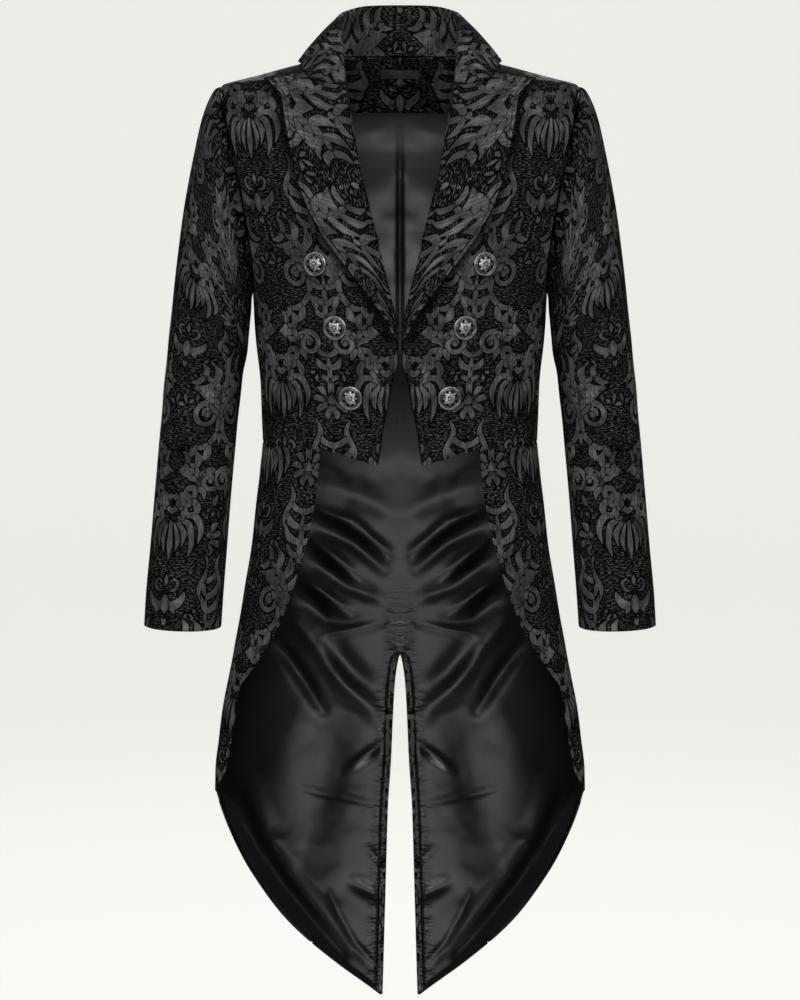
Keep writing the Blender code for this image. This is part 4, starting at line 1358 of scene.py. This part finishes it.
@dataclass
class Collar:
    """The collar: a stand round the neck, a fold, and a fall over the neck seam."""

    flat: Flat = Flat(0.520, 0.165, 0.066)
    stations: tuple[CollarStation, ...] = (
        CollarStation(180, 9, 0, 88, 68, 0, 97, -1), CollarStation(155, 9, 36, 80, 67, 44, 91, -1),
        CollarStation(130, 9, 54, 60, 63, 80, 74, 0.5), CollarStation(108, 9, 65, 33, 57, 104, 40, 5),
        CollarStation(90, 9, 68, 5, 48, 116, 0, 3.5), CollarStation(46, 1, 67, -22, 30, 112, -27, -1),
        CollarStation(25, -14, 64, -48, 4, 105, -46, -11),
        CollarStation(19.5, -24, 61.5, -67.5, -19.5, 98, -60.5, -18),
    )
    seam_lift: float = 1.7
    fold_room: float = 3.2
    bulge: float = 2.5
    columns: int = 241
    rows_per_step: int = 7
    pattern_drop: float = 172.0

    def line(self, station: CollarStation) -> np.ndarray:
        """The section at a station: up the stand, over the fold and down the fall."""
        seam = FORM.point(station.seam_angle, station.seam_height)
        seam = seam - FORM.normal(station.seam_angle, station.seam_height) + np.array([0, 0, self.seam_lift])
        fold = np.array([station.fold_across, station.fold_behind, station.fold_height], float)
        edge = np.array([station.edge_across, station.edge_behind, station.edge_height], float)
        out = edge - fold
        out[2] = 0
        out = out / np.linalg.norm(out)
        up = np.array([0, 0, 1.0])
        room = self.fold_room * min(1.0, float(np.linalg.norm(fold - seam)) / 20)
        top_in, top_out = fold - up * room * 0.6, fold + out * room * 2 - up * room * 0.8
        fall = edge - top_out
        bow = np.cross(np.cross(fall, out), fall)
        bow = bow / np.linalg.norm(bow) * self.bulge
        return np.array([seam, seam + (top_in - seam) * 0.5, top_in, fold + out * room, top_out,
                         top_out + fall * 0.3 + bow, top_out + fall * 0.65 + bow * 0.9, edge])

    def build(self) -> None:
        """Builds the collar in one piece."""
        half = np.array([self.line(station) for station in self.stations])
        whole = np.concatenate([half[:0:-1] * np.array([-1.0, 1.0, 1.0]), half])
        round_neck = curve_at(whole, np.linspace(0, len(whole) - 1, self.columns))
        section = np.swapaxes(round_neck, 0, 1)
        places = filled(range(len(section)), 1 / self.rows_per_step)
        middle = curve_at(section, places)
        normal = unit(np.cross(np.gradient(middle, axis=0), np.gradient(middle, axis=1)))
        normal *= np.sign(normal[-4, middle.shape[1] // 2, 1])
        sheet = Sheet.measured(middle + normal * TAILORING.cloth / 2, normal)
        sheet.across = sheet.across - sheet.across[:, -1:] / 2
        sheet.down = self.pattern_drop - sheet.down
        press_stitches(sheet, sheet.foot)
        piece = sew("collar_cloth", sheet, TAILORING.cloth)
        hang(piece, ["collar"])


class Ring(NamedTuple):
    """A ring of the sleeve, slanted from its outer to its inner side."""

    outer_across: float
    outer_height: float
    inner_across: float
    inner_height: float
    front_depth: float
    back_depth: float
    forward: float


@dataclass
class Sleeves:
    """The two sleeves, each of a top and an under sleeve, set into the armholes."""

    top_flat: Flat = Flat(0.310, 0.655, 0.158)
    under_flat: Flat = Flat(0.140, 0.440, 0.044)
    oval: float = 2.15
    room: float = 0.06
    steps: int = 20
    front_seam: int = 7
    back_seam: int = 13
    top_columns: int = 118
    under_columns: int = 54
    cell: float = 2.8
    origin_turn: float = 64.0
    under_shift: float = -0.8
    elbow: float = -345.0
    drop_from: float = 83.0
    rings: tuple[Ring, ...] = (
        Ring(213.5, -31, 171.5, -267, 61, 67, 0), Ring(226, -58, 172, -272, 64, 71, 0),
        Ring(237, -104, 172.5, -279, 65, 72, 1), Ring(248, -160, 173, -289, 65, 70, 2),
        Ring(256, -215, 174, -301, 63, 67, 3), Ring(262.5, -268, 176, -316, 61, 64, 4),
        Ring(268, -318, 178.5, -337, 59, 61, 5), Ring(272.5, -358, 183, -362, 56, 58, 6),
        Ring(279, -425, 190, -425, 52, 54, 9), Ring(286, -499, 197, -499, 48, 49, 13),
        Ring(291, -555, 201.5, -555, 45, 46, 17), Ring(296, -604, 205.6, -604, 43, 43, 20),
        Ring(299, -647, 209, -650, 42, 42, 22),
    )

    def tube(self, turn: np.ndarray) -> np.ndarray:
        """Points of the left sleeve at some turns round it, ring by ring from the armhole."""
        across, along = np.cos(turn), np.sin(turn)
        reach = (np.abs(across) ** self.oval + np.abs(along) ** self.oval) ** (-1 / self.oval)
        rings = [FORM.point(*CUT.armhole_round(turn))]
        for ring in self.rings:
            outer = np.array([ring.outer_across, -ring.forward, ring.outer_height], float)
            inner = np.array([ring.inner_across, -ring.forward, ring.inner_height], float)
            depth = np.where(along > 0, ring.front_depth, ring.back_depth) * along * reach
            rings.append((outer + inner) / 2 + (outer - inner) / 2 * (across * reach)[:, None]
                         - depth[:, None] * np.array([0, 1.0, 0]))
        points = np.array(rings)
        points[0] += unit(points[1] - points[0]) * self.room
        return points

    def grid(self, first: float, last: float, columns: int) -> tuple[np.ndarray, np.ndarray]:
        """A fine grid of part of the sleeve, with its outward directions."""
        turn = np.linspace(first, last, columns)
        rings = self.tube(turn)
        runs = np.concatenate([[0], np.cumsum(np.linalg.norm(np.diff(rings, axis=0), axis=-1).mean(axis=1))])
        count = round(runs[-1] / self.cell)
        wanted = np.interp(np.linspace(0, runs[-1], count), runs, np.arange(len(rings)))
        points = curve_at(rings, wanted)
        normal = unit(np.cross(np.gradient(points, axis=1), np.gradient(points, axis=0)))
        axis = (points.min(axis=1, keepdims=True) + points.max(axis=1, keepdims=True)) / 2
        facing = np.sign(np.median(np.sum(normal * (points - axis), axis=-1)))
        return points, normal * facing

    def build(self) -> None:
        """Builds the four pieces."""
        per_step = 2 * np.pi / self.steps
        spans = (
            ("sleeve_top", self.back_seam - self.steps, self.front_seam, self.top_columns, self.top_flat),
            ("sleeve_under", self.front_seam, self.back_seam, self.under_columns, self.under_flat),
        )
        for name, start, end, columns, flat in spans:
            first, last = start * per_step, end * per_step
            points, normal = self.grid(first, last, columns)
            for edge, inner in ((0, 1), (-1, -2)):
                points[:, edge] += unit(points[:, inner] - points[:, edge]) * TAILORING.gap
            sheet = Sheet.measured(points, normal)
            turns = np.linspace(first, last, columns)
            zero = np.radians(self.origin_turn)
            centre = np.array([np.interp(zero, turns, row) for row in sheet.near])
            if name == "sleeve_under":
                centre = sheet.near[:, -1] * self.under_shift
            sheet.across = sheet.near - centre[:, None]
            sheet.down = -sheet.points[:, columns // 2:columns // 2 + 1, 2] + self.drop_from + 0 * sheet.near
            press_seams(sheet, sheet.near, sheet.far, sheet.top)
            self.ease(sheet)
            sew_pair(name, "cloth", sheet, flat, inside=FINISHES.satin)

    def ease(self, sheet: Sheet) -> None:
        """Slow creases at the elbow and a little fullness under the sleeve head."""
        height = sheet.points[..., 2]
        bend = np.exp(-((height - self.elbow) / 60) ** 2)
        wave = np.sin(height / 11 + sheet.across / 26) + 0.6 * np.sin(height / 17 - sheet.across / 33 + 1.0)
        edge = ramp(np.minimum(sheet.near, sheet.far), 2, 26) * ramp(sheet.foot, 5, 60)
        full = np.exp(-((sheet.top - 16) / 11) ** 2) * np.sin(sheet.across / 9.0) * 0.3
        sheet.lift((0.45 * bend * wave + full) * edge * ramp(sheet.top, 0, 12))


@dataclass
class Lining:
    """The satin lining of the backs and skirts, hung in soft folds."""

    back_flat: Flat = Flat(0.240, 1.100, 0.105)
    skirt_flat: Flat = Flat(0.330, 0.660, 0.150)
    ease: float = 0.9
    belly: float = 5.0
    fold_size: float = 1.6
    edge_tuck: float = 0.5
    edge_strip: float = 2.5
    hem_room: float = 0.8
    hem_turn: float = 2.0
    edge_fade: float = 14.0
    top_fade: float = 70.0
    crumple: float = 0.5
    waves: int = 16
    far_steps: tuple[float, ...] = (0.001, 1.0, 2.2, 4.0, 5.8, 7.0, 8.0, 9.0, 10.2, 12.0)
    groove_way: float = 8.0
    groove_top: float = -717.0
    groove_width: float = 1.3
    groove_depth: float = 1.8
    cell: float = 3.6
    creases: tuple[Crease, ...] = (
        Crease(((96, -529), (61, -544), (15, -582)), 8, -4.0),
        Crease(((92, -498), (50, -508), (10, -530)), 16, 3.0),
        Crease(((100, -546), (58, -568), (20, -602)), 9, 4.0),
        Crease(((104, -567), (56, -610)), 8, -3.5),
        Crease(((112, -588), (66, -622), (25, -640)), 9, 3.5),
        Crease(((117, -615), (66, -656)), 8, -3.5),
        Crease(((124, -636), (92, -664), (60, -668)), 10, 3.5),
        Crease(((129, -667), (97, -703), (66, -755), (21, -796)), 12, -4.5),
        Crease(((156, -686), (120, -742), (98, -780)), 8, 5.0),
        Crease(((95, -692), (62, -732), (38, -750)), 16, 5.0),
        Crease(((97, -686), (21, -672)), 5, -1.6),
        Crease(((66, -858), (23, -827)), 6, -3.0),
        Crease(((124, -877), (36, -903)), 3.5, 1.6),
        Crease(((80, -785), (98, -860), (112, -950)), 34, 6.0),
        Crease(((40, -960), (15, -990)), 5, -2.2),
        Crease(((60, -1002), (15, -1026)), 8, 3.4),
        Crease(((88, -1016), (78, -1045), (57, -1081), (28, -1114)), 4.5, -2.6),
        Crease(((206, -880), (188, -938), (152, -997), (115, -1044), (76, -1092)), 10, 9.0),
        Crease(((186, -862), (168, -928), (130, -985), (94, -1030), (62, -1074)), 12, -3.4),
        Crease(((152, -955), (112, -1010), (72, -1062), (36, -1106)), 10, 3.4),
        Crease(((0, -58), (0, -150), (0, -330)), 4, -1.3),
        Crease(((40, -80), (17, -64)), 5, -2.2),
    )

    def folds(self, points: np.ndarray) -> np.ndarray:
        """How far the folds stand in, or back, at places of the lining."""
        total = np.zeros(points.shape[:-1])
        spot = points[..., [0, 2]]
        for crease in self.creases:
            line = np.array(crease.path, float)
            lengths = np.linalg.norm(np.diff(line, axis=0), axis=1)
            starts = np.concatenate([[0], np.cumsum(lengths)])
            near, share = np.full(total.shape, 1e6), np.zeros(total.shape)
            for start, end, length, before in zip(line, line[1:], lengths, starts):
                run = (end - start) / length
                along = np.clip((spot - start) @ run, 0, length)
                gap = np.linalg.norm(spot - start - along[..., None] * run, axis=-1)
                closer = gap < near
                near = np.where(closer, gap, near)
                share = np.where(closer, (before + along) / starts[-1], share)
            total += crease.lift * np.exp(-(near / crease.width) ** 2) * np.sin(np.pi * (0.12 + 0.76 * share))
        return total

    def crumpled(self, points: np.ndarray) -> np.ndarray:
        """A gentle unevenness, from -1 to 1, out of many seeded waves that bend each other."""
        dice = np.random.default_rng(11)
        x, z = points[..., 0], points[..., 2]
        total = np.zeros(x.shape)
        for _ in range(self.waves):
            wave, turn, phase = dice.uniform(28, 85), dice.uniform(0, np.pi), dice.uniform(0, 6.28, 3)
            bend = 9 * np.sin(z / 23 + phase[0]) + 7 * np.sin(x / 19 + phase[1])
            way = x * np.cos(turn) + z * np.sin(turn) + bend
            total += np.sin(2 * np.pi * way / wave + phase[2]) * wave / 56
        return np.tanh(total / np.sqrt(self.waves) * 1.2)

    def hang_from(self, grid: tuple[np.ndarray, ...], near_free: np.ndarray, far_free: np.ndarray,
                  tuck: float = 0.0, top_fade: float = 14.0) -> Sheet:
        """A lining sheet just inside the cloth, with its folds, still along its free edges.

        Args:
            grid: its angles, heights and flat places.
            near_free: which rows end in a free edge at their first column.
            far_free: which rows end in a free edge at their last column.
            tuck: how much further in it lies along its first edge.
            top_fade: way down from its top over which its folds come up.

        Returns:
            The sheet.
        """
        sheet = TAILORING.panel(*grid)
        edge = np.minimum(np.where(near_free[:, None], sheet.near, FAR_AWAY),
                          np.where(far_free[:, None], sheet.far, FAR_AWAY))
        still = ramp(np.minimum(edge, sheet.foot), 0, self.edge_fade) * ramp(sheet.top, 0, top_fade)
        folds = self.fold_size * self.folds(sheet.points) + self.crumple * self.crumpled(sheet.points)
        swell = np.maximum(self.belly + folds, 0) * still
        sheet.lift(-(TAILORING.cloth + self.ease + swell) - tuck * np.exp(-sheet.near / 12))
        return sheet

    def build_back(self) -> None:
        """The linings of the two backs."""
        stops = [CUT.facing - CUT.seam_room, -100, CUT.armhole_middle, *CUT.back_rows,
                 CUT.tail_tip + self.hem_turn]
        heights = FORM.rows(stops, self.cell)
        near, far = Backs().edges(heights)
        on_hem = heights < CUT.skirt_foot
        grid = TAILORING.ruled(near + np.where(on_hem, self.hem_room, 0), far, heights, self.cell, 180.0,
                               TAILORING.seam_steps, self.far_steps, 0.0)
        sheet = self.hang_from(grid, on_hem, heights < CUT.vent_top, top_fade=self.top_fade)
        sunk = np.exp(-((sheet.far - self.groove_way) / self.groove_width) ** 2)
        sheet.lift(self.groove_depth * sunk * ramp(-grid[1], -self.groove_top - 4, -self.groove_top))
        self.make("lining_back", sheet, self.back_flat, Stitched.FAR)

    def build_skirt(self) -> None:
        """The linings of the two skirts."""
        heights = FORM.rows(CUT.skirt_rows, self.cell)
        near, far = CUT.angle_of(CUT.skirt_edge, heights), CUT.angle_of(CUT.side_back_seam, heights)
        steps = tuple(s + self.edge_strip for s in TAILORING.seam_steps)
        grid = TAILORING.ruled(near, far, heights, self.cell, 90.0, steps, TAILORING.seam_steps, 0.0)
        free = np.ones(len(heights), bool)
        sheet = self.hang_from(grid, free, ~free, self.edge_tuck)
        self.make("lining_skirt", sheet, self.skirt_flat)

    @staticmethod
    def make(name: str, sheet: Sheet, flat: Flat, puckered: Stitched = Stitched.NONE) -> None:
        """Makes a lining sheet for both sides, puckered along one of its edges or none."""
        sew_pair(name, "satin", sheet, flat, outside=FINISHES.satin, inside=FINISHES.satin, stitched=puckered,
                 rounded=False)


@dataclass
class NeckFacing:
    """The facing behind the neck, with the bare label on it."""

    flat: Flat = Flat(0.300, 0.085, 0.018)
    share: float = 0.4
    half_columns: int = 34
    pattern_drop: float = 40.0
    label_flat: Flat = Flat(0.044, 0.0104, 0.00045)
    label_half: float = 22.0
    label_top: float = -4.0
    label_foot: float = -14.0
    label_room: float = 0.45
    label_thick: float = 0.6
    label_columns: int = 34
    label_rows: int = 9

    def build(self) -> None:
        """Builds the facing and the label."""
        heights = FORM.rows([*CUT.neck_rows, CUT.facing + CUT.seam_room], TAILORING.coarse)
        side, middle = Backs().edges(heights)
        near = side + (middle - side) * self.share
        shares = np.linspace(0, 1, self.half_columns)
        half = near[:, None] + (middle - near)[:, None] * shares
        angle = np.concatenate([half, 360 - half[:, -2::-1]], axis=1)
        height = np.repeat(heights[:, None], angle.shape[1], axis=1)
        points = FORM.point(angle, height)
        normal = FORM.normal(angle, height)
        points = points - normal * (TAILORING.cloth + 2 * TAILORING.gap)
        sheet = Sheet.measured(points, normal, 0, self.pattern_drop)
        sheet.across = sheet.across - sheet.across[:, -1:] / 2
        piece = sew("neck_facing_cloth", sheet, TAILORING.lining)
        hang(piece, ["neck_facing"])
        self.build_label()

    def build_label(self) -> None:
        """The bare label, laid on the facing."""
        across = np.linspace(-self.label_half, self.label_half, self.label_columns)
        heights = np.linspace(self.label_top, self.label_foot, self.label_rows)
        angles = np.linspace(180, 150, 60)
        rows = []
        for height in heights:
            line = FORM.point(angles, np.full_like(angles, height))
            angle = 180 - np.interp(np.abs(across), line[:, 0], 180 - angles) * np.sign(across)
            deep = TAILORING.cloth + 2 * TAILORING.gap + TAILORING.lining + self.label_room
            level = np.full_like(angle, height)
            rows.append(FORM.point(angle, level) - FORM.normal(angle, level) * deep)
        points = np.array(rows)[:, ::-1]
        normal = np.broadcast_to(np.array([0.0, 1.0, 0.0]), points.shape).copy()
        tape = Sheet.measured(points, normal)
        piece = sew("label_tape", tape, self.label_thick, FINISHES.tape, FINISHES.tape)
        hang(piece, ["label"])


@dataclass
class VentFacings:
    """The strips of cloth turned in along both edges of the vent."""

    flat: Flat = Flat(0.0100, 0.445, 0.0031)
    width: float = 7.0
    top: float = -721.0
    foot: float = -1148.0
    cell: float = 3.0
    columns: int = 7
    pattern_shift: float = 60.0

    def build(self) -> None:
        """Builds both strips."""
        heights = FORM.rows([self.top, -748, -772, -848, -908, -987, self.foot], self.cell)
        far = CUT.angle_of(CUT.vent_edge, heights)
        radius = np.linalg.norm(FORM.point(far, heights)[:, :2], axis=1)
        wide = np.minimum(self.width, 0.5 * (heights - CUT.tail_tip) + 1.0)
        near = far - np.degrees(wide / radius)
        share = np.linspace(0, 1, self.columns)
        angle = near[:, None] + (far - np.degrees(CUT.seam_room / radius) - near)[:, None] * share
        height = np.repeat(heights[:, None], angle.shape[1], axis=1)
        normal = FORM.normal(angle, height)
        depth = TAILORING.cloth + Lining().ease + TAILORING.lining + CUT.seam_room
        sheet = Sheet.measured(FORM.point(angle, height) - normal * depth, normal, self.pattern_shift)
        sew_pair("vent_facing", "cloth", sheet, self.flat, thick=TAILORING.lining)


class ButtonPlace(NamedTuple):
    """Where a button stands on a front."""

    height: float
    angle: float


class Turn(NamedTuple):
    """A step of the button's profile: its radius and its height off the cloth."""

    radius: float
    height: float


@dataclass
class Buttons:
    """Six domed metal buttons with a raised rim and a plain petal ornament."""

    places: tuple[ButtonPlace, ...] = (ButtonPlace(-223, 30.9), ButtonPlace(-294, 24.6),
                                       ButtonPlace(-373, 19.5))
    sides: int = 96
    room: float = 0.4
    profile: tuple[Turn, ...] = (
        Turn(3.5, 0.0), Turn(3.5, 1.6), Turn(12.4, 2.0), Turn(13.2, 2.5), Turn(13.4, 3.2), Turn(13.2, 4.0),
        Turn(12.8, 4.5), Turn(12.3, 4.6), Turn(11.8, 4.3), Turn(11.4, 3.5), Turn(11.1, 3.3), Turn(10.8, 3.6),
        Turn(10.5, 4.2), Turn(10.1, 4.5), Turn(9.7, 4.3), Turn(9.4, 4.1), Turn(8.9, 4.55), Turn(8.2, 5.0),
        Turn(7.5, 5.4), Turn(6.8, 5.75), Turn(6.1, 6.0), Turn(5.4, 6.22), Turn(4.7, 6.4), Turn(4.0, 6.54),
        Turn(3.3, 6.65), Turn(2.6, 6.73), Turn(1.9, 6.78), Turn(1.2, 6.8), Turn(0.6, 6.81),
    )
    crown: float = 6.82
    petals: int = 8
    relief_height: float = 0.34

    def model(self) -> bpy.types.Object:
        """Models one button at the origin, its axis up."""
        bpy.ops.object.select_all(action="DESELECT")
        first = self.profile[0]
        bpy.ops.mesh.primitive_circle_add(vertices=self.sides, radius=first.radius * MM, fill_type="NGON")
        button = bpy.context.object
        bpy.ops.object.mode_set(mode="EDIT")
        bpy.ops.mesh.select_all(action="SELECT")
        for before, now in zip(self.profile, self.profile[1:]):
            bpy.ops.mesh.extrude_region_move(
                TRANSFORM_OT_translate={"value": (0, 0, (now.height - before.height) * MM)})
            grow = now.radius / before.radius
            bpy.ops.transform.resize(value=(grow, grow, 1.0))
        bpy.ops.mesh.poke()
        bpy.ops.mesh.select_all(action="SELECT")
        bpy.ops.mesh.normals_make_consistent(inside=False)
        bpy.ops.object.mode_set(mode="OBJECT")
        self.emboss(button.data)
        bpy.ops.object.shade_smooth_by_angle(angle=math.radians(42))
        return button

    def emboss(self, mesh: bpy.types.Mesh) -> None:
        """Raises petals, a ring of beads and a centre boss on the dome, and keeps the relief's height."""
        spots = np.empty(len(mesh.vertices) * 3)
        mesh.vertices.foreach_get("co", spots)
        spots = spots.reshape(-1, 3) / MM
        radius, angle = np.hypot(spots[:, 0], spots[:, 1]), np.arctan2(spots[:, 1], spots[:, 0])
        petal = np.abs(np.sin(angle * self.petals / 2)) ** 0.8
        petal *= ramp(radius, 1.8, 3.4) * (1 - ramp(radius, 5.0, 6.6))
        leaf = np.abs(np.cos(angle * self.petals / 2)) ** 3 * np.exp(-((radius - 7.2) / 1.2) ** 2)
        bead = (0.6 + 0.4 * np.cos(angle * 32)) * np.exp(-((radius - 10.1) / 0.6) ** 2)
        boss = 1 - ramp(radius, 0.8, 2.0)
        rim = np.exp(-((radius - 12.5) / 0.9) ** 2)
        high = np.maximum.reduce([petal, leaf * 0.8, bead, boss])
        dome = (spots[:, 2] > 3.4) & (radius < 11.4)
        spots[:, 2] += np.where(dome, high * self.relief_height, 0)
        mesh.vertices.foreach_set("co", (spots * MM).ravel())
        write_values(mesh, "relief", np.where(dome, np.clip(high, 0, 1), np.clip(rim + 0.2, 0, 1)))
        mesh.update()

    def build(self) -> None:
        """Copies the button to its six places, each square to the cloth under it."""
        model = self.model()
        model.data.materials.clear()
        model.data.materials.append(FINISHES.metal)
        for number, place in enumerate(self.places, start=1):
            seat = FORM.point(np.array(place.angle), np.array(place.height))
            normal = FORM.normal(np.array(place.angle), np.array(place.height))
            seat = seat + normal * self.room
            for side in Side:
                bpy.ops.object.select_all(action="DESELECT")
                model.select_set(True)
                bpy.context.view_layer.objects.active = model
                bpy.ops.object.duplicate(linked=False)
                button = bpy.context.object
                button.name = f"button_metal_{side.word}_{number}"
                button.location = Vector((seat[0] * side.value, seat[1], seat[2])) * MM
                button.rotation_mode = "QUATERNION"
                facing = Vector((normal[0] * side.value, normal[1], normal[2]))
                button.rotation_quaternion = facing.to_track_quat("Z", "Y")
                bpy.ops.object.transform_apply(location=True, rotation=True, scale=True)
                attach(button, "root")
                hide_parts(f"button_{side.word}_{number}")
                LOG.info("%s: %d faces", button.name, len(button.data.polygons))
        bpy.data.objects.remove(model, do_unlink=True)


class Lamp(NamedTuple):
    """A soft studio light: where it stands, its size, power and the place that it points at."""

    name: str
    place: Triple
    size: Place
    power: float
    aim: Triple


@dataclass
class Studio:
    """The pale sweep behind the coat, the soft lights and the camera of the photograph."""

    floor: float = -1.95
    wall: float = 6.8
    bend: float = 1.4
    half_width: float = 8.0
    front: float = -7.0
    high: float = 4.5
    sky: float = 0.05
    seen_sky: float = 0.86
    glow: float = 0.75
    camera_place: Triple = (0.0, -3.2, -0.063)
    camera_aim: Triple = (0.0, 0.0, -0.504)
    lens: float = 99.39
    sensor: float = 36.0
    lamps: tuple[Lamp, ...] = (
        Lamp("front_softbox", (0.0, -3.7, 0.75), (1.5, 1.0), 36, (0, 0, -0.6)),
        Lamp("left_strip", (-2.3, -1.7, 0.8), (0.5, 1.8), 13, (0, 0, -0.5)),
        Lamp("right_strip", (2.3, -1.7, 0.8), (0.5, 1.8), 13, (0, 0, -0.5)),
        Lamp("top_softbox", (0.0, -0.9, 2.1), (2.0, 1.0), 18, (0, 0, -0.3)),
        Lamp("back_softbox", (0.0, 4.2, 1.9), (1.6, 1.0), 44, (0, 0, -0.6)),
        Lamp("low_softbox", (0.0, -1.2, -1.35), (1.5, 0.55), 4.0, (0, 0.1, -0.8)),
        Lamp("chest_panel", (0.0, -3.0, -0.85), (1.4, 0.4), 1.6, (0, 0.1, -0.12)),
    )

    def build_sweep(self) -> None:
        """The floor that turns up into a back wall."""
        bends = [(self.wall - self.bend + self.bend * math.sin(a), self.floor + self.bend * (1 - math.cos(a)))
                 for a in np.linspace(0, math.pi / 2, 17)]
        line = [(self.front, self.floor)] + bends + [(self.wall, self.high)]
        bpy.ops.object.select_all(action="DESELECT")
        bpy.ops.mesh.primitive_grid_add(x_subdivisions=1, y_subdivisions=len(line) - 1, size=2.0)
        sweep = bpy.context.object
        sweep.name = "studio_sweep"
        for vertex in sweep.data.vertices:
            row = round((vertex.co.y + 1) / 2 * (len(line) - 1))
            vertex.co = Vector((vertex.co.x * self.half_width, line[row][0], line[row][1]))
        bpy.ops.object.shade_smooth()
        made, lay, shader = blank_material("pale_paper")
        place = lay.add("ShaderNodeTexCoord").outputs["Object"]
        grain = lay.noise(place, 3.0, 2.0)
        lay.feed(shader, "Base Color", lay.mix(grain, (0.62, 0.615, 0.60, 1), (0.64, 0.635, 0.62, 1)))
        lay.feed(shader, "Roughness", 0.9)
        lay.feed(shader, "Emission Color", (1.0, 0.99, 0.945, 1))
        seen = lay.add("ShaderNodeLightPath").outputs["Is Camera Ray"]
        lay.feed(shader, "Emission Strength", lay.times(seen, self.glow))
        sweep.data.materials.append(made)
        sweep.visible_glossy = False

    @staticmethod
    def aimed(name: str, data: bpy.types.ID, place: Triple, aim: Triple) -> bpy.types.Object:
        """An object for a lamp or a camera, turned to look at a point."""
        holder = bpy.data.objects.new(name, data)
        bpy.context.scene.collection.objects.link(holder)
        holder.location = place
        holder.rotation_euler = (Vector(aim) - Vector(place)).to_track_quat("-Z", "Y").to_euler()
        return holder

    def build_lights(self) -> None:
        """The even light of the room and the soft lamps."""
        world = bpy.data.worlds.new("studio_air")
        world.use_nodes = True
        back = world.node_tree.nodes["Background"]
        back.inputs["Color"].default_value = (1.0, 0.995, 0.98, 1)
        lay = Texture(world.node_tree)
        seen = lay.add("ShaderNodeLightPath").outputs["Is Camera Ray"]
        lay.feed(back, "Strength", lay.lifted(seen, self.seen_sky - self.sky, self.sky))
        bpy.context.scene.world = world
        for lamp in self.lamps:
            light = bpy.data.lights.new(lamp.name, "AREA")
            light.shape = "RECTANGLE"
            light.size, light.size_y = lamp.size
            light.energy = lamp.power
            self.aimed(lamp.name, light, lamp.place, lamp.aim)

    def build_camera(self) -> None:
        """The camera, level with the collar and looking a little down."""
        seen = bpy.data.cameras.new("photo_camera")
        seen.lens = self.lens
        seen.sensor_fit = "VERTICAL"
        seen.sensor_height = self.sensor
        seen.clip_end = 50.0
        bpy.context.scene.camera = self.aimed("photo_camera", seen, self.camera_place, self.camera_aim)

    def build(self) -> None:
        """Sets the studio up."""
        self.build_sweep()
        self.build_lights()
        self.build_camera()
        bpy.context.scene.view_settings.view_transform = "Standard"


def main() -> None:
    """Builds the coat piece by piece, then the studio."""
    logging.basicConfig(level=logging.INFO, format="%(name)s %(message)s")
    for part in (Fronts(), SideBodies(), Backs(), Skirts(), Lapels(), Collar(), Sleeves()):
        part.build()
    lining = Lining()
    lining.build_back()
    lining.build_skirt()
    NeckFacing().build()
    VentFacings().build()
    Buttons().build()
    Studio().build()


if __name__ == "__main__":
    main()
